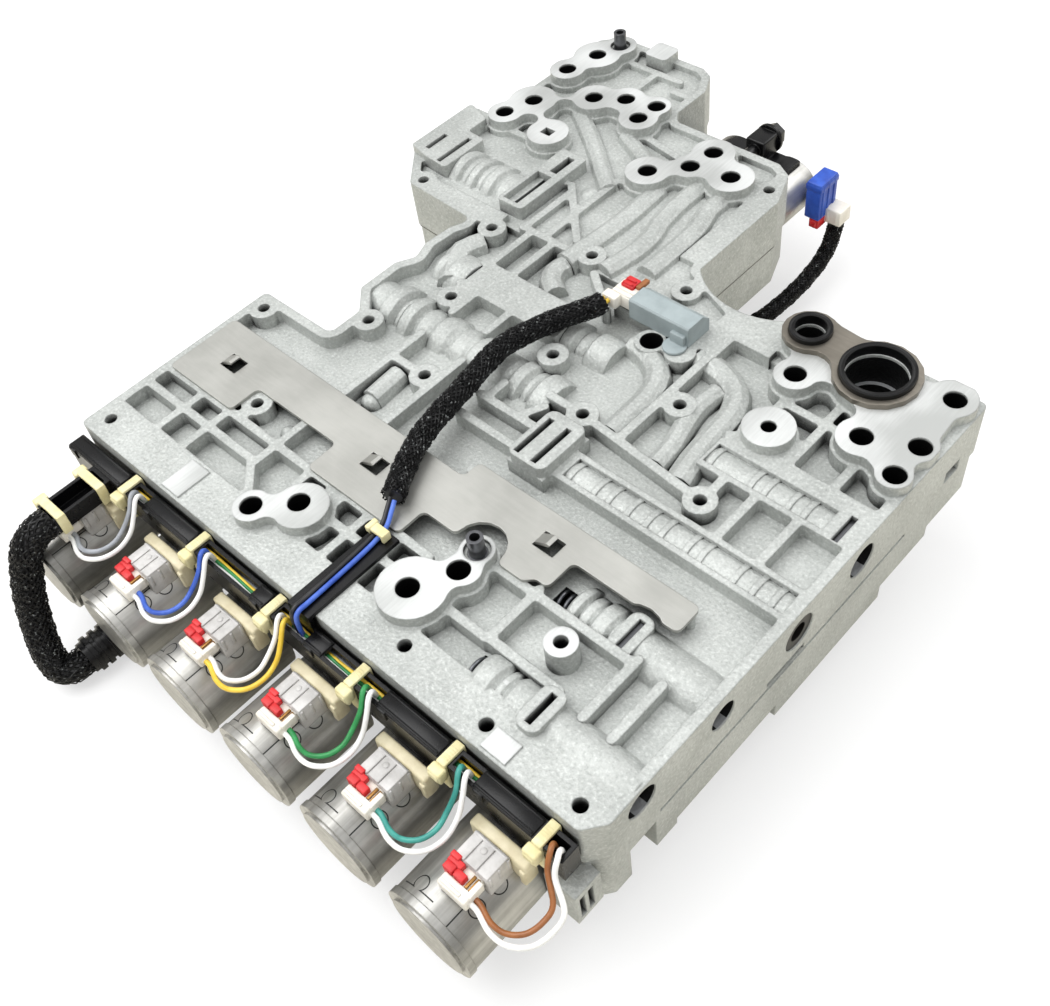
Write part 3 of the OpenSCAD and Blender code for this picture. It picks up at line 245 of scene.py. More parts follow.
@finish_once
def cast_aluminium():
    """Grainy die casting, bright cutter marks on pads and milled patches, and painted shade in holes and crevices."""
    f = Finish("cast_aluminium")
    height = f.axis("Z")
    up = f.axis("Z", f.node("ShaderNodeNewGeometry", out="True Normal"))
    milled = (up > 0.998) * (abs(height) < 0.00012)
    patches = (up > 0.998) * (abs(height + 0.0034) < 0.0002)
    bright = milled.most(patches)
    grain = f.noise(950, 3.0, 0.7)
    pits = f.cells(760)
    blotch = f.noise(38, 5.0, 0.6)
    crevice_shade = f.depth(0.012)
    skin = f.mix(blotch.rise(0.3, 0.72), linear(168, 171, 168), linear(190, 193, 190))
    skin = f.mix(grain.rise(0.5, 0.72) * 0.42, skin, linear(226, 229, 226))
    skin = f.mix(grain.rise(0.5, 0.3) * 0.36, skin, linear(128, 131, 129))
    cutter = f.noise(60, 3.0, 0.6, f.stretched((22, 1.5, 1), (0, 0, 0.6)))
    sweep = f.noise(30, 2.0, 0.5) * 0.85 + cutter * 0.15
    machined = f.mix(sweep.rise(0.35, 0.65), linear(174, 176, 174), linear(216, 218, 217))
    colour = f.mix(bright, skin, machined)
    # painted shade: the colour goes near black where the occlusion node finds crevices and corners
    colour = f.mix(crevice_shade.rise(0.13, 0.32), linear(3, 3, 3), colour)
    flat = f.node("ShaderNodeVectorMath", {"operation": "MULTIPLY"}, {0: f.place, 1: (1, 1, 0)})
    nearest = None
    for x, y in OIL_HOLES:
        gap = f.node("ShaderNodeVectorMath", {"operation": "DISTANCE"}, {0: flat, 1: (x * MM, y * MM, 0)},
                     out="Value")
        nearest = nearest.least(gap) if nearest else gap
    # painted shade: the oil holes' walls and floors are coloured near black, standing in for the shade inside them
    hole = (nearest < OIL_HOLE_REACH * MM) * (height > OIL_HOLE_FLOOR * MM) * height.rise(-0.0002, -0.0012)
    colour = f.mix(hole, colour, linear(3, 3, 3))
    # painted shade: port and bore walls are coloured near black and their upward steps a dimmer grey
    well_shade = None
    for across, (u, v, r) in [("XY", port) for port in PORTS] + [("YZ", bore) for bore in BORES]:
        gap = f.sum("SQRT", (f.axis(across[0]) - u * MM) ** 2 + (f.axis(across[1]) - v * MM) ** 2)
        inside = abs(height + 0.013) < 0.0118 if across == "XY" else abs(f.axis("X") - 0.0615) < 0.021
        here = (gap < (r + 0.3) * MM) * inside
        well_shade = well_shade.most(here) if well_shade else here
    colour = f.mix(well_shade, colour, f.mix(up > 0.9, linear(7, 7, 8), linear(150, 152, 154)))
    relief = f.bump((grain * 0.7 + pits * 0.3) * (1 - bright) + cutter * bright * 0.1, 0.55, 0.0006,
                    f.soft_edges(0.0009))
    return f.surface(Base_Color=colour, Metallic=0.4, Roughness=0.5 + blotch * 0.08, Normal=relief)


@finish_once
def sheet_metal(name, dark, light, rough):
    """Rolled or stamped sheet with fine lines along its length, and painted shade in its corners."""
    f = Finish(name)
    lines = f.noise(900, 3.0, 0.6, f.stretched((0.12, 1, 1)))
    cloud = f.noise(30, 4.0, 0.6)
    colour = f.mix((lines * 0.2 + cloud * 0.8).rise(0.3, 0.7), dark, light)
    # painted shade: the colour darkens where the occlusion node finds corners
    colour = f.mix(f.depth(0.006).rise(0.02, 0.3), linear(30, 30, 30), colour)
    relief = f.bump(lines, 0.05, 0.0002, f.soft_edges(0.0004))
    return f.surface(Base_Color=colour, Metallic=0.75, Roughness=rough + cloud * 0.16, Normal=relief)


@finish_once
def turned_steel(name, dark, light, rough):
    """Turned or ground steel."""
    f = Finish(name)
    rings = f.noise(900, 2.0, 0.5, f.stretched((1, 0.3, 1)))
    cloud = f.noise(90, 3.0, 0.6)
    colour = f.mix(rings * 0.4 + cloud * 0.6, dark, light)
    relief = f.bump(rings, 0.15, 0.0002, f.soft_edges(0.0003))
    return f.surface(Base_Color=colour, Metallic=0.9, Roughness=rough + cloud * 0.12, Normal=relief)


@finish_once
def can_steel():
    """Drawn steel cans with an interlocked seam, patchy tone, a dull crimp, painted beige reflections and painted
    shade.
    """
    f = Finish("can_steel")
    across = (f.axis("X") - (SOLENOIDS[0] * MM)).wrap(-0.01875, 0.01875)
    height = f.axis("Z") - SOLENOID_Z * MM
    along = f.axis("Y")
    around = f.sum("ARCTAN2", across, height) * (CAN_R * MM)
    seam = around - 0.0072
    for centre, side in ((-0.0625, 0.0098), (-0.0708, 0.0098)):
        knob = f.sum("SQRT", (around - side) ** 2 + (along - centre) ** 2) - 0.0024
        seam = seam.least(knob)
    lip = along + 0.0776
    tooth = f.sum("SQRT", (around + 0.0062) ** 2 + (along + 0.0758) ** 2) - 0.0023
    lip = lip.least(tooth)
    groove = ((abs(seam) < 0.0002) * (along < -0.0485)).most((abs(lip) < 0.0002) * (around < 0.0005)
                                                             * (around > -0.0125)) * (along > -0.0796)
    lines = f.noise(420, 3.0, 0.6, f.stretched((1, 0.04, 1)))
    marks = f.noise(30, 5.0, 0.62)
    beige_reflection = f.noise(14, 2.0, 0.5)
    colour = f.mix((marks * 0.65 + lines * 0.35).rise(0.3, 0.72), linear(132, 131, 127), linear(204, 203, 199))
    # painted reflection: a beige tint in patches stands in for beige reflections on the cans
    colour = f.mix(beige_reflection.rise(0.5, 0.8) * 0.5, colour, linear(178, 168, 148))
    colour = f.mix(groove, colour, linear(34, 34, 34))
    # painted shade: the colour darkens between the cans and in their corners, found by the occlusion node
    colour = f.mix(f.depth(0.012).rise(0.02, 0.4), linear(40, 39, 37), colour)
    relief = f.bump(lines * 0.3 - groove, 0.35, 0.0003, f.soft_edges(0.0004))
    return f.surface(Base_Color=colour, Metallic=0.8 - groove * 0.6, Roughness=0.26 + marks * 0.18, Normal=relief)


@finish_once
def plastic(name, dark, light, rough, scale, gloss=0.5):
    """Moulded plastic with a faint cloud and texture."""
    f = Finish(name)
    cloud = f.noise(scale, 4.0, 0.6)
    fine = f.noise(scale * 22, 2.0, 0.5)
    colour = f.mix(cloud.rise(0.25, 0.75), dark, light)
    relief = f.bump(fine, 0.12, 0.0002, f.soft_edges(0.0004))
    return f.surface(Base_Color=colour, Roughness=rough + cloud * 0.15, Specular_IOR_Level=gloss, Normal=relief)


@finish_once
def wire_skin(name, dark, light):
    """Extruded wire insulation with a faint waxy sheen."""
    f = Finish(name)
    cloud = f.noise(160, 3.0, 0.6)
    colour = f.mix(cloud.rise(0.25, 0.75), dark, light)
    relief = f.bump(f.noise(2400, 2.0), 0.08, 0.0002)
    return f.surface(Base_Color=colour, Roughness=0.33 + cloud * 0.12, Normal=relief)


@finish_once
def braid_filament():
    """Black filaments with pale flecks."""
    f = Finish("braid_filament")
    fleck = f.noise(700, 3.0, 0.65)
    colour = f.mix(fleck.rise(0.6, 0.72), linear(3, 3, 4), linear(140, 144, 143))
    lines = f.noise(2600, 2.0, 0.5)
    return f.surface(Base_Color=colour, Roughness=0.2 + fleck * 0.2, Specular_IOR_Level=0.22,
                     Normal=f.bump(lines, 0.2, 0.0002))


@finish_once
def floor_paint():
    """Pale floor that keeps the block's shadow."""
    f = Finish("floor_paint")
    cloud = f.noise(3, 3.0, 0.5)
    light = f.node("ShaderNodeLightPath", out="Is Camera Ray")
    colour = f.mix(light, linear(228, 224, 212), f.mix(cloud, linear(246, 246, 246), linear(252, 252, 252)))
    shade = f.node("ShaderNodeBsdfPrincipled", None, {"Base Color": colour, "Roughness": 0.9})
    glow = f.node("ShaderNodeEmission", None, {"Color": (1, 1, 1, 1), "Strength": 1.0})
    return f.done(f.node("ShaderNodeMixShader", None, {0: light * 0.55, 1: shade, 2: glow}))


def milky_plastic():
    return plastic("milky_plastic", linear(170, 168, 165), linear(210, 208, 206), 0.3, 140)


def bar_plastic():
    return plastic("bar_plastic", linear(204, 192, 156), linear(226, 217, 186), 0.36, 140)


def brass():
    return turned_steel("brass_pins", linear(122, 86, 44), linear(176, 134, 80), 0.3)


def black_plastic():
    return plastic("black_plastic", linear(3, 3, 4), linear(11, 11, 13), 0.2, 120, 0.3)


def white_plastic():
    return plastic("white_plastic", linear(222, 216, 204), linear(242, 238, 229), 0.36, 150)


def red_plastic():
    return plastic("red_plastic", linear(186, 24, 30), linear(222, 44, 48), 0.36, 160)


def cream_nylon():
    return plastic("cream_nylon", linear(214, 203, 150), linear(236, 228, 184), 0.38, 180)


def slate_plastic():
    return plastic("slate_plastic", linear(140, 151, 153), linear(158, 169, 171), 0.4, 120)


def blue_plastic():
    return plastic("blue_plastic", linear(24, 62, 158), linear(46, 92, 196), 0.34, 140)


def seal_rubber():
    return plastic("seal_rubber", linear(4, 4, 5), linear(12, 12, 13), 0.36, 200, 0.3)


WIRES = {
    "white": (linear(226, 226, 224), linear(246, 246, 244)),
    "brown": (linear(132, 78, 38), linear(164, 104, 58)),
    "blue": (linear(48, 82, 176), linear(84, 120, 212)),
    "teal": (linear(40, 128, 120), linear(70, 160, 148)),
    "green": (linear(30, 120, 62), linear(54, 152, 86)),
    "yellow": (linear(216, 178, 42), linear(240, 206, 78)),
    "grey": (linear(132, 136, 142), linear(164, 168, 174)),
    "orange": (linear(206, 112, 54), linear(232, 146, 84)),
    "black": (linear(24, 24, 26), linear(42, 42, 44)),
}


def wire(colour):
    return wire_skin("wire_" + colour, *WIRES[colour])


NODE_FINISHES = {
    "cast": cast_aluminium,
    "plate": lambda: sheet_metal("separator_sheet", linear(52, 50, 46), linear(80, 77, 71), 0.4),
    "zinc": lambda: turned_steel("plated_bolts", linear(120, 120, 118), linear(168, 168, 164), 0.3),
    "stamped": lambda: sheet_metal("stamped_clip", linear(166, 166, 161), linear(186, 186, 181), 0.36),
    "bronze": lambda: sheet_metal("bronze_plate", linear(112, 107, 98), linear(144, 138, 128), 0.3),
    "rubber": seal_rubber,
    "steel": lambda: turned_steel("dark_steel", linear(70, 71, 74), linear(120, 121, 124), 0.26),
    "spool": lambda: turned_steel("ground_spool", linear(170, 172, 176), linear(214, 216, 220), 0.18),
    # painted shade: the end plugs are coloured near black to stand in for the shade in the bores they close
    "plug": lambda: turned_steel("end_plugs_shaded_dark", linear(22, 22, 21), linear(64, 63, 60), 0.34),
    "spring": lambda: turned_steel("spring_wire", linear(90, 92, 96), linear(140, 142, 146), 0.3),
    "can": can_steel,
    "housing": milky_plastic,
    "white": white_plastic,
    "wire": lambda: wire("white"),
    "black": black_plastic,
    "tie": cream_nylon,
    "sensor": slate_plastic,
    "braid": braid_filament,
    "blue": blue_plastic,
}


def deselect():
    bpy.ops.object.select_all(action="DESELECT")


def place(points, shift=(0, 0, 0)):
    """Millimetre points as vectors in metres."""
    return [(Vector(p) + Vector(shift)) * MM for p in points]


def flowing(points, steps=6):
    """A smooth path through points."""
    path = []
    for k in range(len(points) - 1):
        before = points[k - 1] if k else points[k] * 2 - points[k + 1]
        after = points[k + 2] if k + 2 < len(points) else points[k + 1] * 2 - points[k]
        first, second = points[k], points[k + 1]
        for step in range(steps):
            t = step / steps
            path.append(0.5 * (2 * first + (second - before) * t
                               + (2 * before - 5 * first + 4 * second - after) * t * t
                               + (3 * first - before - 3 * second + after) * t ** 3))
    path.append(points[-1].copy())
    return path


def frames(path):
    """A tangent and two cross directions at each point, carried along without twist."""
    rows, side = [], None
    for k, point in enumerate(path):
        ahead = (path[min(k + 1, len(path) - 1)] - path[max(k - 1, 0)]).normalized()
        if side is None:
            side = ahead.orthogonal().normalized()
        side = (side - ahead * side.dot(ahead)).normalized()
        rows.append((point, side, ahead.cross(side)))
    return rows


def cable(name, points, radius, material, replaces, sides=10, steps=6):
    """A round wire along a smooth path."""
    deselect()
    path = flowing(points, steps)
    line = bpy.data.curves.new(name, "CURVE")
    line.dimensions = "3D"
    line.bevel_depth = radius
    line.bevel_resolution = max(sides // 4, 1)
    line.use_fill_caps = True
    spline = line.splines.new("POLY")
    spline.points.add(len(path) - 1)
    for point, spot in zip(spline.points, path):
        point.co = (*spot, 1.0)
    piece = bpy.data.objects.new(name, line)
    bpy.context.collection.objects.link(piece)
    piece.select_set(True)
    bpy.context.view_layer.objects.active = piece
    bpy.ops.object.convert(target="MESH")
    piece = bpy.context.object
    bpy.ops.object.shade_smooth_by_angle(angle=math.radians(50))
    return settle(piece, name, material, replaces)


def settle(piece, name, material, replaces=()):
    """Names a finished piece, gives it its finish and sets it on the block."""
    piece.name = name
    piece.data.name = name
    piece.data.materials.clear()
    piece.data.materials.append(material)
    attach(piece, BLOCK)
    if replaces:
        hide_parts(*replaces)
    return piece


def shaped(piece, angle=35):
    """Shades a piece smooth except at its sharp edges."""
    deselect()
    piece.select_set(True)
    bpy.context.view_layer.objects.active = piece
    bpy.ops.object.shade_smooth_by_angle(angle=math.radians(angle))
    return piece


def block(low, high, bevel=0.3, segments=2):
    """A block between two corners in millimetres, with its edges rounded."""
    deselect()
    middle = [(a + b) / 2 * MM for a, b in zip(low, high)]
    bpy.ops.mesh.primitive_cube_add(size=1, location=middle)
    piece = bpy.context.object
    piece.scale = [abs(b - a) * MM for a, b in zip(low, high)]
    bpy.ops.object.transform_apply(location=True, rotation=True, scale=True)
    if bevel:
        bpy.ops.object.mode_set(mode="EDIT")
        bpy.ops.mesh.select_all(action="SELECT")
        bpy.ops.mesh.bevel(offset=bevel * MM, segments=segments, affect="EDGES")
        bpy.ops.object.mode_set(mode="OBJECT")
    return piece


def bar(start, end, radius, sides=24, bevel=0.0):
    """A round bar between two points in millimetres, with its ends rounded."""
    deselect()
    start, end = Vector(start) * MM, Vector(end) * MM
    bpy.ops.mesh.primitive_cylinder_add(vertices=sides, radius=radius * MM, depth=(end - start).length,
                                        location=(start + end) / 2,
                                        rotation=(end - start).to_track_quat("Z", "Y").to_euler())
    piece = bpy.context.object
    bpy.ops.object.transform_apply(location=True, rotation=True, scale=True)
    if bevel:
        bpy.ops.object.mode_set(mode="EDIT")
        bpy.ops.mesh.select_all(action="DESELECT")
        bpy.ops.object.mode_set(mode="OBJECT")
        ahead = (end - start).normalized()
        for face in piece.data.polygons:
            face.select = abs(face.normal.dot(ahead)) > 0.9
        bpy.ops.object.mode_set(mode="EDIT")
        bpy.ops.mesh.select_mode(type="FACE")
        bpy.ops.mesh.bevel(offset=bevel * MM, segments=2, affect="EDGES")
        bpy.ops.object.mode_set(mode="OBJECT")
    return piece


def joined(*pieces):
    """Several solids as one piece."""
    deselect()
    for piece in pieces:
        piece.select_set(True)
    bpy.context.view_layer.objects.active = pieces[0]
    bpy.ops.object.join()
    return bpy.context.object


def cut(piece, *tools):
    """Takes the tools' solids out of a piece."""
    for tool in tools:
        deselect()
        piece.select_set(True)
        bpy.context.view_layer.objects.active = piece
        change = piece.modifiers.new("cut", "BOOLEAN")
        change.operation, change.solver, change.object = "DIFFERENCE", "EXACT", tool
        bpy.ops.object.modifier_apply(modifier=change.name)
        bpy.data.objects.remove(tool)
    return piece


def copied(piece, shift):
    """A copy with a mesh of its own, moved by millimetres."""
    twin = bpy.data.objects.new(piece.name, piece.data.copy())
    bpy.context.collection.objects.link(twin)
    twin.data.transform(Matrix.Translation(Vector(shift) * MM))
    return twin


def row_of(piece, name, finish, replaces):
    """Sets a piece made at the first solenoid beside all six."""
    shaped(piece)
    twins = [piece] + [copied(piece, (x - SOLENOIDS[0], 0, 0)) for x in SOLENOIDS[1:]]
    for k, twin in enumerate(twins):
        settle(twin, f"{name}_{k + 1}", finish, [node.format(k + 1) for node in replaces])


def braid(name, points, radius, strands, pitch, material, replaces, weave=0.00042):
    """A woven sleeve: flat strands that pass over and under each other around a path."""
    path = flowing(points, 24)
    rows = frames(path)
    lengths = [0.0]
    for a, b in zip(path, path[1:]):
        lengths.append(lengths[-1] + (b - a).length)
    total = lengths[-1]
    steps = max(int(total / 0.0011), 8)
    stations, k = [], 0
    for step in range(steps + 1):
        target = total * step / steps
        while k < len(lengths) - 2 and lengths[k + 1] < target:
            k += 1
        share = (target - lengths[k]) / max(lengths[k + 1] - lengths[k], 1e-9)
        a, b = rows[k], rows[k + 1]
        stations.append((target, *[a[m].lerp(b[m], share) for m in range(3)]))
    width = math.pi * radius / strands * 0.86
    verts, faces = [], []
    for turn in (1, -1):
        for strand in range(strands):
            base = len(verts)
            for target, spot, side, up in stations:
                angle = 2 * math.pi * (strand / strands + turn * target / pitch)
                phase = math.pi * (2 * strands * target / pitch + strand)
                lift = math.sin(phase) * turn
                out = side * math.cos(angle) + up * math.sin(angle)
                across = side * -math.sin(angle) + up * math.cos(angle)
                centre = spot + out * (radius - weave + weave * 0.8 * lift)
                verts += [centre + across * -width / 2 - out * 0.00008, centre + across * -width / 4 + out * 0.00022,
                          centre + across * width / 4 + out * 0.00022, centre + across * width / 2 - out * 0.00008,
                          centre - out * 0.0002]
            for step in range(steps):
                a, b = base + step * 5, base + step * 5 + 5
                for m in range(5):
                    n = (m + 1) % 5
                    faces.append((a + m, a + n, b + n, b + m))
            faces.append(tuple(base + m for m in range(4, -1, -1)))
            faces.append(tuple(base + steps * 5 + m for m in range(5)))
    mesh = bpy.data.meshes.new(name)
    mesh.from_pydata([tuple(v) for v in verts], [], faces)
    piece = bpy.data.objects.new(name, mesh)
    bpy.context.collection.objects.link(piece)
    deselect()
    piece.select_set(True)
    bpy.context.view_layer.objects.active = piece
    bpy.ops.object.mode_set(mode="EDIT")
    bpy.ops.mesh.select_all(action="SELECT")
    bpy.ops.mesh.normals_make_consistent(inside=False)
    bpy.ops.object.mode_set(mode="OBJECT")
    bpy.ops.object.shade_smooth_by_angle(angle=math.radians(40))
    return settle(piece, name, material, replaces)


# Routes of the wiring, in millimetres, as in the part's source
SENSOR_ROUTE = [(-38.8, 101.2, 2.2), (-39.5, 98.6, 1.9), (-42.4, 93.5, 1.4), (-46, 87, 1), (-50, 76, 0.9),
                (-52, 66, 1.1), (-51.3, 56, 1), (-49.5, 46, 0.9), (-48, 36.5, 0.9), (-46, 27, 1.4),
                (-43, 17, 1.7), (-38.5, 7, 1.7), (-33, -2.5, 1.8)]
SENSOR_LEADS = [(-32.5, -3.4, 1.8), (-31, -6.5, 0.4), (-29, -11, -1.2), (-28, -18, -1.7), (-27.4, -30, -1.7),
                (-27, -43, -1.6), (-26.8, -47.4, -1.5), (-26.6, -49.2, -4), (-26.5, -49.2, -12)]
MAIN_ROUTE = [(-125.5, -74.1, -12.4), (-125.5, -78.5, -12.4), (-125.7, -84.5, -16), (-126.3, -89.2, -26),
              (-126, -93, -36), (-123.5, -96.5, -46), (-119.5, -99.3, -54.5), (-114.8, -99.5, -60),
              (-112, -95.8, -61), (-112, -91.6, -61)]
REAR_ROUTE = [(-28, 231, -41.5), (-28, 230.8, -44), (-27.8, 229, -48.2), (-27.4, 225.5, -52.3), (-26.8, 219, -55),
              (-26, 208, -56.3), (-26, 196, -57), (-27, 184, -57.5), (-29, 174, -57.5), (-32, 165, -56.5),
              (-34.5, 158.5, -53), (-35.8, 154.6, -48), (-36, 154, -42.8)]
LOOP = [(9.15, -72, -20.3), (12, -72.3, -20.3), (18, -74.2, -19.5), (24, -74, -18), (29, -70.5, -17),
        (31, -65, -16), (30.5, -59.5, -14), (29.2, -55.5, -10), (27.5, -52.2, -6.6), (26.4, -50, -7.4),
        (25.8, -48.9, -12)]
LOOP_SHARE = 0.84
LAST_SHIFT = -5.0
LEAD_COLOURS = [("white", "grey"), ("white", "blue"), ("yellow", "white"), ("white", "green"), ("white", "teal"),
                ("white", "brown")]


class WiringSettings(bpy.types.PropertyGroup):
    """Sizes of the wiring and the springs."""
    lead_radius: bpy.props.FloatProperty(name="Lead radius", description="Radius of the solenoid leads",
                                         default=0.8 * MM, unit="LENGTH")
    spring_wire: bpy.props.FloatProperty(name="Spring wire radius", description="Wire radius of the valve springs",
                                         default=0.6 * MM, unit="LENGTH")
    sensor_sleeve_radius: bpy.props.FloatProperty(name="Sensor sleeve radius", description="Radius of the sensor's "
                                                  "braided sleeve", default=4.0 * MM, unit="LENGTH")
    main_sleeve_radius: bpy.props.FloatProperty(name="Main sleeve radius", description="Radius of the main "
                                                "braided sleeve", default=5.5 * MM, unit="LENGTH")
    rear_sleeve_radius: bpy.props.FloatProperty(name="Rear sleeve radius", description="Radius of the rear "
                                                "braided sleeve", default=3.4 * MM, unit="LENGTH")
    strands: bpy.props.IntProperty(name="Strands", description="Strands each way in a braided sleeve", default=14,
                                   min=6, max=24)


class StageSettings(bpy.types.PropertyGroup):
    """Light, floor and camera."""
    floor_size: bpy.props.FloatProperty(name="Floor size", description="Side of the floor", default=8.0,
                                        unit="LENGTH")
    lens: bpy.props.FloatProperty(name="Lens", description="Focal length of the camera", default=41.09,
                                  unit="CAMERA")
    key_power: bpy.props.FloatProperty(name="Key lamp", description="Power of the key lamp", default=18.0,
                                       unit="POWER")
    fill_power: bpy.props.FloatProperty(name="Fill lamp", description="Power of the fill lamp", default=2.5,
                                        unit="POWER")
    back_power: bpy.props.FloatProperty(name="Back lamp", description="Power of the back lamp", default=6.0,
                                        unit="POWER")
    sky: bpy.props.FloatProperty(name="Sky", description="Strength of the light from all round", default=0.95,
                                 subtype="FACTOR", min=0, max=2)


class VALVEBODY_OT_stage(bpy.types.Operator):
    """Sets the floor, lamps, sky and camera"""
    bl_idname = "valve_body.stage"
    bl_label = "Stage"

    def execute(self, context):
        setup = context.scene.valve_body_stage
        deselect()
        bpy.ops.mesh.primitive_plane_add(size=setup.floor_size, location=(0, 0, CAD_BOX[0][2] - 0.0002))
        floor = context.object
        floor.name = "floor"
        bpy.ops.object.transform_apply(location=True, rotation=True, scale=True)
        floor.data.materials.append(floor_paint())
        self.lamp("key", (-0.55, -0.35, 1.25), 1.3, setup.key_power)
        self.lamp("fill", (0.95, -0.75, 0.75), 1.1, setup.fill_power)
        self.lamp("back", (0.25, 1.1, 0.85), 0.9, setup.back_power)
        self.sky(context.scene, setup.sky)
        self.camera(context.scene, setup.lens)
        context.scene.view_settings.view_transform = "Standard"
        return {"FINISHED"}

    def lamp(self, name, spot, size, power):
        aim = Vector((-0.035, 0.06, -0.02))
        bpy.ops.object.light_add(type="AREA", location=spot)
        lamp = bpy.context.object
        lamp.name = name
        lamp.rotation_euler = (aim - Vector(spot)).to_track_quat("-Z", "Y").to_euler()
        lamp.data.size = size
        lamp.data.energy = power

    def sky(self, scene, strength):
        f = Finish("studio", bpy.data.worlds)
        rise = f.axis("Z", f.node("ShaderNodeTexCoord", out="Generated")).rise(-0.1, 0.9)
        colour = f.mix(rise, linear(132, 130, 124), linear(255, 255, 255))
        soft = f.node("ShaderNodeBackground", None, {"Color": colour, "Strength": strength})
        clear = f.node("ShaderNodeBackground", None, {"Color": (1, 1, 1, 1), "Strength": 1.0})
        seen = f.node("ShaderNodeLightPath", out="Is Camera Ray")
        scene.world = f.done(f.node("ShaderNodeMixShader", None, {0: seen, 1: soft, 2: clear}),
                             "ShaderNodeOutputWorld")

    def camera(self, scene, lens):
        right = Vector((0.7272, 0.6789, -0.1017))
        down = Vector((0.4825, -0.6108, -0.6278))
        ahead = Vector((-0.4883, 0.4074, -0.7717))
        turn = Matrix((right, -down, -ahead)).transposed().to_4x4()
        bpy.ops.object.camera_add()
        camera = bpy.context.object
        camera.name = "camera"
        camera.matrix_world = Matrix.Translation(Vector((173.76, -124.28, 276)) * MM) @ turn
        camera.data.lens = lens
        camera.data.sensor_width = 36
        camera.data.clip_start = 0.01
        scene.camera = camera


class VALVEBODY_OT_finishes(bpy.types.Operator):
    """Gives each solid of the block its finish"""
    bl_idname = "valve_body.finishes"
    bl_label = "Finishes"

    def execute(self, context):
        for node in frame["record"]["subparts"]:
            piece = NODES[node["node"]]
            piece.data.materials.clear()
            slot = "plug" if node["node"] in END_PLUGS else node["material_slot"]
            piece.data.materials.append(NODE_FINISHES[slot]())
        return {"FINISHED"}


class VALVEBODY_OT_leads(bpy.types.Operator):
    """Lays the solenoid leads, the sensor's leads and the wires in the tray"""
    bl_idname = "valve_body.leads"
    bl_label = "Leads"

    def execute(self, context):
        radius = context.scene.valve_body_wiring.lead_radius
        for k, x in enumerate(SOLENOIDS):
            shift = LAST_SHIFT if k == 5 else 0.0
            outer = [(p[0] + (shift if m > 6 else 0), p[1], p[2]) for m, p in enumerate(LOOP)]
            inner = [(p[0] + shift - 2.5, p[1], p[2]) if m > 6 else
                     (9.15 + (p[0] - 9.15) * LOOP_SHARE, -62 + (p[1] + 62) * LOOP_SHARE, p[2])
                     for m, p in enumerate(LOOP)]
            for part, points, colour in (("outer", outer, LEAD_COLOURS[k][0]), ("inner", inner, LEAD_COLOURS[k][1])):
                cable(f"lead_{k + 1}_{part}", place(points, (x, 0, 0)), radius, wire(colour),
                      ["solenoid_leads"])
        for side, colour in ((-0.95, "black"), (0.95, "blue")):
            cable("sensor_lead_" + colour, place(SENSOR_LEADS, (side, 0, 0)), radius, wire(colour),
                  ["sensor_leads"])
        tray = [("white", -1.15, -0.5), ("green", -0.2, 0.0), ("yellow", 0.75, -0.4), ("orange", 0.3, -1.5),
                ("teal", -0.7, -1.5), ("grey", 1.2, -1.6)]
        for turn, (colour, side, drop) in enumerate(tray):
            y, z = (TRAY_Y[0] + TRAY_Y[1]) / 2 + side, TRAY_TOP - 2.6 + drop
            points = [(-140 + 200 * m / 20, y + 0.25 * math.sin(m * 1.7 + turn), z + 0.2 * math.sin(m * 1.1 + 2 * turn))
                      for m in range(21)]
            cable("tray_wire_" + colour, place(points), 0.6 * MM, wire(colour), ["tray_wires"])
        return {"FINISHED"}


class VALVEBODY_OT_sleeves(bpy.types.Operator):
    """Weaves the braided sleeves"""
    bl_idname = "valve_body.sleeves"
    bl_label = "Sleeves"

    def execute(self, context):
        sizes = context.scene.valve_body_wiring
        for name, route, radius, pitch in (
                ("sensor_sleeve", SENSOR_ROUTE, sizes.sensor_sleeve_radius, 0.034),
                ("main_sleeve", MAIN_ROUTE, sizes.main_sleeve_radius, 0.040),
                ("rear_sleeve", REAR_ROUTE, sizes.rear_sleeve_radius, 0.026)):
            points = place(route)
            cable(name + "_core", points, radius - 1.0 * MM, wire("black"), [name], 12)
            braid(name + "_braid", points, radius, sizes.strands, pitch, braid_filament(), [name])
        return {"FINISHED"}


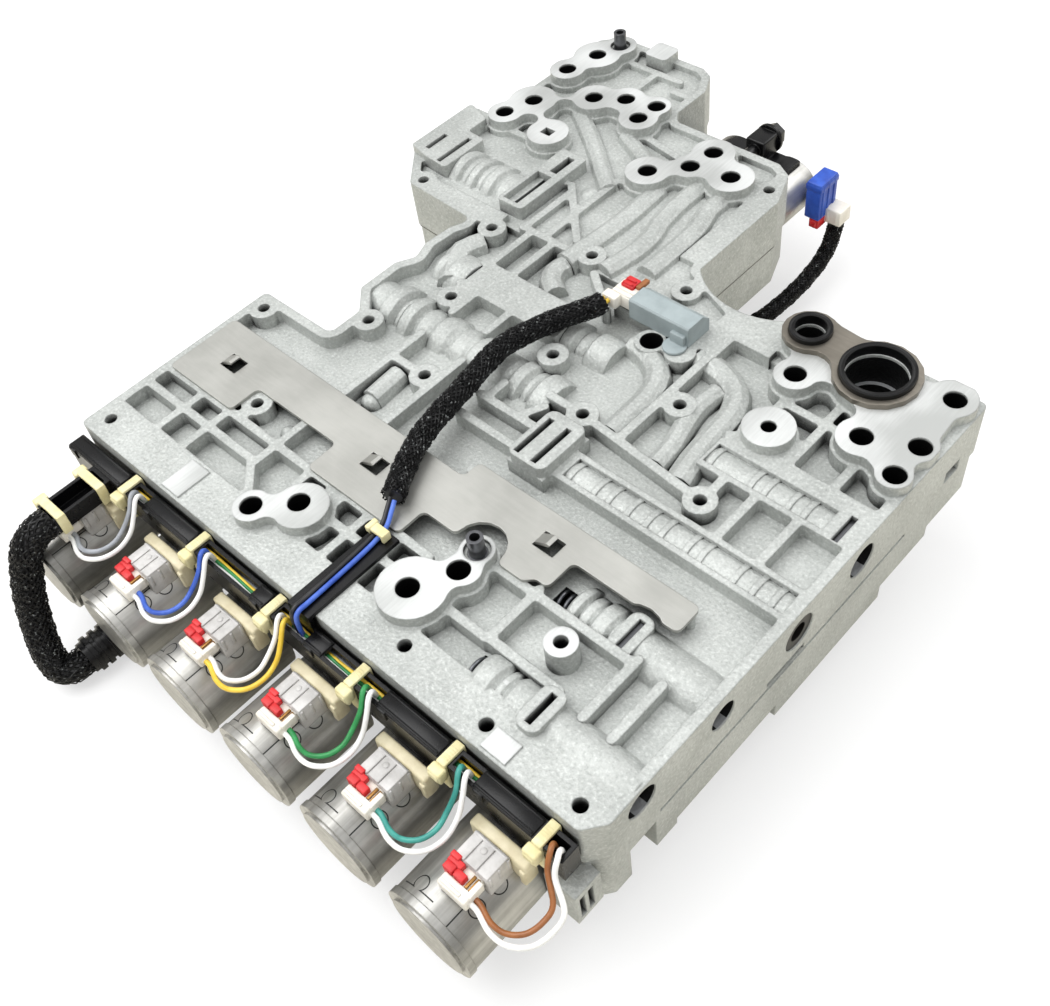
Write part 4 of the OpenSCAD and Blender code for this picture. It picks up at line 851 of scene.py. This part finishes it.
class VALVEBODY_OT_connectors(bpy.types.Operator):
    """Models the solenoid connectors and the harness plugs with their locks"""
    bl_idname = "valve_body.connectors"
    bl_label = "Connectors"

    def execute(self, context):
        x = SOLENOIDS[0]
        row_of(self.housing(x), "connector_housing", milky_plastic(), ["connector_{}"])
        row_of(self.crossbar(x), "connector_bar", bar_plastic(), ["connector_{}"])
        row_of(self.plug(x), "harness_plug", white_plastic(), ["harness_plugs"])
        row_of(self.pins(x), "plug_pins", brass(), ["harness_plugs"])
        row_of(self.lock(x), "plug_lock", red_plastic(), ["harness_plugs"])
        return {"FINISHED"}

    def can_space(self, x):
        return bar((x, -40, SOLENOID_Z), (x, -90, SOLENOID_Z), CAN_R + 0.05, 96)

    def housing(self, x):
        body = cut(block((x - 2.5, -66, -28), (x + 9.5, -57.25, -17.5), 0.5), self.can_space(x),
                   block((x - 1.3, -67, -22.6), (x + 8.3, -61, -18.4), 0))
        tops = [block((x + a, -65.7, -17.8), (x + b, -57.6, -16.95), 0.22)
                for a, b in ((-2.3, 0.9), (1.25, 5.3), (5.65, 9.3))]
        rib = block((x - 2.3, -58.6, -17.6), (x + 9.3, -57.9, -16.75), 0.15)
        sides = [block((x + 9.3, y, -22.5), (x + 9.8, y + 0.8, -17.6), 0.15) for y in (-65.4, -62, -58.6)]
        dimple = bar((x + 3.3, -60.6, -17), (x + 3.3, -60.6, -16.8), 0.9, 20, 0.06)
        return joined(body, *tops, rib, *sides, dimple)

    def crossbar(self, x):
        beam = cut(block((x - 6, -57.2, -28), (x + 14.5, -53.3, -17.9), 0.9, 3), self.can_space(x))
        return joined(beam, block((x + 12.2, -57.9, -27.6), (x + 14.4, -52.9, -20.5), 0.5))

    def plug(self, x):
        end = block((x - 1, -74, -22.4), (x + 9, -70.5, -17.7), 0.55, 3)
        tongue = block((x + 0.9, -71, -22.1), (x + 7.9, -61.6, -18.9), 0.2)
        tab = block((x + 7.5, -72, -21), (x + 9.2, -66.8, -17.4), 0.35)
        ledge = block((x - 0.6, -73.4, -17.8), (x + 6.6, -72.4, -17.35), 0.15)
        collars = [bar((x + 8.8, y, -20.3), (x + 9.35, y, -20.3), 1.15, 16, 0.12) for y in (-72, -70.4)]
        return joined(end, tongue, tab, ledge, *collars)

    def pins(self, x):
        return joined(*[block((x + a, -70.4, -19.4), (x + a + 0.9, -66.4, -18.2), 0.15) for a in (5.4, 6.8)])

    def lock(self, x):
        base = [block((x - 2.4, -70.4, -21), (x + 1.1, -68, -16.6), 0.35),
                block((x + 1.4, -70.4, -21), (x + 4.9, -68, -16.6), 0.35)]
        bridge = block((x - 2.2, -69.6, -21), (x + 4.7, -68.4, -17.1), 0.2)
        tongue = block((x - 2.8, -68.3, -20.8), (x + 2.2, -66.1, -17), 0.35)
        hook = block((x - 3, -66.9, -20.8), (x + 0.2, -65.2, -16.5), 0.3)
        return joined(*base, bridge, tongue, hook)


class VALVEBODY_OT_ties(bpy.types.Operator):
    """Fits the cable ties around the tray, its arm and its tongue"""
    bl_idname = "valve_body.ties"
    bl_label = "Cable ties"

    def execute(self, context):
        low, high = TRAY_TOP - 11, TRAY_TOP
        for k, at in enumerate(TIES):
            band = cut(block((at - 1.65, TRAY_Y[0] - 1, low - 1), (at + 1.65, TRAY_Y[1] + 1, high + 1), 0.45),
                       block((at - 3, TRAY_Y[0] - 0.1, low - 0.1), (at + 3, TRAY_Y[1] + 0.1, high + 0.1), 0))
            head = block((at - 2.4, TRAY_Y[0] - 4, high - 4.6), (at + 2.4, TRAY_Y[0] - 0.7, high + 0.2), 0.7, 3)
            lip = block((at - 1.9, TRAY_Y[0] - 4.3, high - 3.4), (at + 1.9, TRAY_Y[0] - 3.6, high - 0.8), 0.25)
            tail = block((at - 1.5, TRAY_Y[0] - 3.2, high - 6.4), (at + 1.5, TRAY_Y[0] - 2.1, high - 4.2), 0.25)
            teeth = [block((at - 1.1, TRAY_Y[0] + 0.9 * m, high + 0.95),
                           (at + 1.1, TRAY_Y[0] + 0.9 * m + 0.4, high + 1.08), 0) for m in range(1, 6)]
            settle(shaped(joined(band, head, lip, tail, *teeth)), f"tray_tie_{k + 1}", cream_nylon(),
                   ["cable_ties"])
        for k, y in enumerate((-56, -71.5)):
            band = cut(block((-132, y - 1.65, high - 7.2), (-120, y + 1.65, high + 1), 0.45),
                       block((-131.1, y - 3, high - 6.3), (-120.9, y + 3, high + 0.1), 0))
            head = block((-135, y - 2.4, high - 4.6), (-131.7, y + 2.4, high + 0.2), 0.7, 3)
            tail = block((-134.1, y - 1.5, high - 6.4), (-133, y + 1.5, high - 4.2), 0.25)
            settle(shaped(joined(band, head, tail)), f"arm_tie_{k + 1}", cream_nylon(), ["cable_ties"])
        bridge = cut(block((-31.7, -15.1, -2.6), (-24.7, -11.8, 0.8), 0.45),
                     block((-30.7, -17, -4), (-25.7, -10, -0.2), 0))
        head = block((-32.2, -15.6, -1.2), (-30.2, -11.3, 1.2), 0.5, 3)
        settle(shaped(joined(bridge, head)), "tongue_tie", cream_nylon(), ["cable_ties"])
        return {"FINISHED"}


class VALVEBODY_OT_sensor(bpy.types.Operator):
    """Models the sensor's plug with its lock, strip and wire ends, and the sensor's foot"""
    bl_idname = "valve_body.sensor"
    bl_label = "Sensor"

    def execute(self, context):
        shell = cut(block((-40, 106.5, -2), (-31.05, 114.5, 3), 0.5),
                    block((-41, 107.6, -0.9), (-37.4, 113.4, 2), 0.2))
        shelf = block((-41, 103.1, -1), (-35, 106.8, 3.6), 0.5)
        rail = [block((-39.5, y, 2.8), (-31.4, y + 1, 3.5), 0.2) for y in (107, 109)]
        settle(shaped(joined(shell, shelf, *rail)), "sensor_plug_shell", white_plastic(), ["sensor_plug"])
        base = block((-38.6, 110.6, 2.6), (-33.4, 115.6, 4.2), 0.4)
        ridge = [block((-38.2, y, 4), (-34, y + 1, 4.9), 0.3) for y in (111, 113)]
        settle(shaped(joined(base, *ridge)), "sensor_plug_lock", red_plastic(), ["sensor_plug"])
        strip = block((-33.2, 112, 2.8), (-31.2, 117.4, 4.3), 0.3)
        settle(shaped(strip), "sensor_plug_strip", plastic("brown_plastic", *WIRES["brown"], 0.4, 150),
               ["sensor_plug"])
        ends = [bar((x, 103.6, 2), (x, 101.4, 2.1), 0.8, 12, 0.1) for x in (-40, -37.9)]
        settle(shaped(joined(*ends)), "sensor_plug_wires", wire("yellow"), ["sensor_plug"])
        foot = joined(block((-12.5, 104.2, -3.9), (-6.6, 106.2, 0.8), 0.4),
                      bar((-9.6, 103.4, -3.9), (-9.6, 103.4, -2.9), 4.2, 28, 0.25))
        settle(shaped(foot), "sensor_foot", slate_plastic())
        return {"FINISHED"}


class VALVEBODY_OT_rear_plug(bpy.types.Operator):
    """Models the socket of the rear solenoids, and the plug in it"""
    bl_idname = "valve_body.rear_plug"
    bl_label = "Rear plug"

    def execute(self, context):
        socket = block((-37.9, 222.1, -38), (-31, 234, -21), 0.6, 3)
        ribs = [block((-31.3, y, -37), (-30.6, y + 1.2, -22.5), 0.25) for y in (223.5, 227.2, 231)]
        collar = block((-38.2, 221.9, -24.5), (-30.7, 234.2, -22), 0.35)
        settle(shaped(joined(socket, *ribs, collar)), "rear_socket", blue_plastic(), ["rear_connector"])
        shell = block((-31.9, 227.1, -41), (-24.1, 234.9, -34.1), 0.6, 3)
        tabs = [block((x, 226.9, -40.2), (x + 1.2, 230.4, -35), 0.25) for x in (-30.6, -26.6)]
        settle(shaped(joined(shell, *tabs)), "rear_plug_shell", white_plastic(), ["rear_connector"])
        lock = joined(block((-35.6, 222.4, -42.2), (-31.2, 228.4, -37.8), 0.5),
                      block((-35, 221.6, -41.4), (-32, 223, -38.6), 0.3))
        settle(shaped(lock), "rear_plug_lock", red_plastic(), ["rear_connector"])
        return {"FINISHED"}


class VALVEBODY_OT_springs(bpy.types.Operator):
    """Winds the springs behind the spools"""
    bl_idname = "valve_body.springs"
    bl_label = "Springs"

    def execute(self, context):
        for joint in frame["record"]["behaviour"]["joints"]:
            node = joint["name"].replace("slide", "spring")
            low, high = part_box(node)
            piece = settle(shaped(self.coil(low, high, context.scene.valve_body_wiring.spring_wire)),
                           node.replace("spring", "coil"), NODE_FINISHES["spring"](), [node])
            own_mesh(piece)
        return {"FINISHED"}

    def coil(self, low, high, wire):
        length = high.x - low.x - 2 * wire
        deselect()
        bpy.ops.mesh.primitive_circle_add(vertices=10, radius=wire, location=(0, (high.z - low.z) / 2 - wire, 0))
        piece = bpy.context.object
        bpy.ops.object.transform_apply(location=True, rotation=True, scale=True)
        wind = piece.modifiers.new("wind", "SCREW")
        wind.axis = "X"
        wind.iterations = min(10, max(3, int((length - 4 * MM) / (1.3 * MM))))
        wind.screw_offset = length / wind.iterations
        wind.steps = wind.render_steps = 28
        bpy.ops.object.modifier_apply(modifier=wind.name)
        bpy.ops.object.mode_set(mode="EDIT")
        bpy.ops.mesh.select_all(action="SELECT")
        bpy.ops.mesh.fill_holes(sides=0)
        bpy.ops.mesh.normals_make_consistent(inside=False)
        bpy.ops.object.mode_set(mode="OBJECT")
        reach = [corner.co.x for corner in piece.data.vertices]
        piece.location = ((low.x + high.x) / 2 - (min(reach) + max(reach)) / 2, (low.y + high.y) / 2,
                          (low.z + high.z) / 2)
        bpy.ops.object.transform_apply(location=True, rotation=True, scale=True)
        return piece


class VALVEBODY_OT_rear_clamp(bpy.types.Operator):
    """Models the clamp over the rear solenoids with its bolt"""
    bl_idname = "valve_body.rear_clamp"
    bl_label = "Rear clamp"

    def execute(self, context):
        roofs = []
        for x in REAR_CANS:
            roof = cut(bar((x, 222, REAR_Z), (x, 232, REAR_Z), REAR_R + 2.5, 48, 0.4),
                       bar((x, 221, REAR_Z), (x, 233, REAR_Z), REAR_R + 0.1, 48, 0))
            roofs.append(cut(roof, block((x - 15, 221, REAR_Z - 15), (x + 15, 233, REAR_Z + 4), 0),
                             block((x + 3, 221, REAR_Z), (x + 15, 233, REAR_Z + 15), 0)))
        middle = sum(REAR_CANS) / 2
        lug = block((middle - 4.5, 222.2, REAR_Z + 6), (middle + 4.5, 231.8, -12.6), 0.8, 3)
        web = block((REAR_CANS[0] - 2, 222.4, REAR_Z + 10.6), (REAR_CANS[1] + 2, 231.6, REAR_Z + 12.8), 0.5)
        flange = bar((middle, 231.6, -17), (middle, 233.4, -17), 6.1, 40, 0.4)
        head = bar((middle, 233, -17), (middle, 237.4, -17), 4.7, 6, 0.4)
        shank = bar((middle, 205.1, -17), (middle, 223, -17), 2.8, 24, 0.2)
        settle(shaped(joined(*roofs, lug, web, flange, head, shank)), "rear_clamp", black_plastic(),
               ["rear_bracket"])
        return {"FINISHED"}


class VALVEBODY_OT_lids(bpy.types.Operator):
    """Puts the ridged caps on the tray's lids"""
    bl_idname = "valve_body.lids"
    bl_label = "Tray lids"

    def execute(self, context):
        spans = [(x + a, x + b) for x, (a, b) in zip(SOLENOIDS, LIDS)] + [(TRAY_X[0], SOLENOIDS[0] + 16)]
        for k, (start, end) in enumerate(spans):
            end = min([end] + [tie - 2.2 for tie in TIES if start < tie < end])
            cap = block((start + 0.2, TRAY_Y[0] + 0.15, TRAY_TOP - 0.2),
                        (end - 0.2, TRAY_Y[1] - 0.15, TRAY_TOP + 0.55), 0.25)
            ridges = [block((start + 0.6, y, TRAY_TOP + 0.4), (end - 0.6, y + 0.7, TRAY_TOP + 0.9), 0.2)
                      for y in (TRAY_Y[0] + 0.6, TRAY_Y[1] - 1.3)]
            clasp = block((start + 0.8, TRAY_Y[0] - 0.5, TRAY_TOP - 3.6),
                          (start + 4.4, TRAY_Y[0] + 0.3, TRAY_TOP + 0.3), 0.25)
            settle(shaped(joined(cap, *ridges, clasp)), f"tray_lid_{k + 1}", black_plastic())
        return {"FINISHED"}


class VALVEBODY_PT_panel(bpy.types.Panel):
    """Lists what the block is dressed with"""
    bl_label = "Valve Body"
    bl_idname = "VALVEBODY_PT_panel"
    bl_space_type = "VIEW_3D"
    bl_region_type = "UI"
    bl_category = "Valve Body"

    def draw(self, context):
        for settings in (context.scene.valve_body_wiring, context.scene.valve_body_stage):
            box = self.layout.box()
            for name in settings.__annotations__:
                box.prop(settings, name)
        for operator in OPERATORS:
            self.layout.operator(operator.bl_idname)


SETTINGS = (WiringSettings, StageSettings)
OPERATORS = (VALVEBODY_OT_stage, VALVEBODY_OT_finishes, VALVEBODY_OT_leads, VALVEBODY_OT_sleeves,
             VALVEBODY_OT_connectors, VALVEBODY_OT_ties, VALVEBODY_OT_sensor, VALVEBODY_OT_rear_plug,
             VALVEBODY_OT_springs, VALVEBODY_OT_rear_clamp, VALVEBODY_OT_lids)
CLASSES = SETTINGS + OPERATORS + (VALVEBODY_PT_panel,)


def register():
    for each in CLASSES:
        bpy.utils.register_class(each)
    bpy.types.Scene.valve_body_wiring = bpy.props.PointerProperty(type=WiringSettings)
    bpy.types.Scene.valve_body_stage = bpy.props.PointerProperty(type=StageSettings)


def unregister():
    del bpy.types.Scene.valve_body_wiring
    del bpy.types.Scene.valve_body_stage
    for each in reversed(CLASSES):
        bpy.utils.unregister_class(each)


def main():
    register()
    bpy.ops.valve_body.stage()
    bpy.ops.valve_body.finishes()
    bpy.ops.valve_body.leads()
    bpy.ops.valve_body.sleeves()
    bpy.ops.valve_body.connectors()
    bpy.ops.valve_body.ties()
    bpy.ops.valve_body.sensor()
    bpy.ops.valve_body.rear_plug()
    bpy.ops.valve_body.springs()
    bpy.ops.valve_body.rear_clamp()
    bpy.ops.valve_body.lids()


if __name__ == "__main__":
    main()
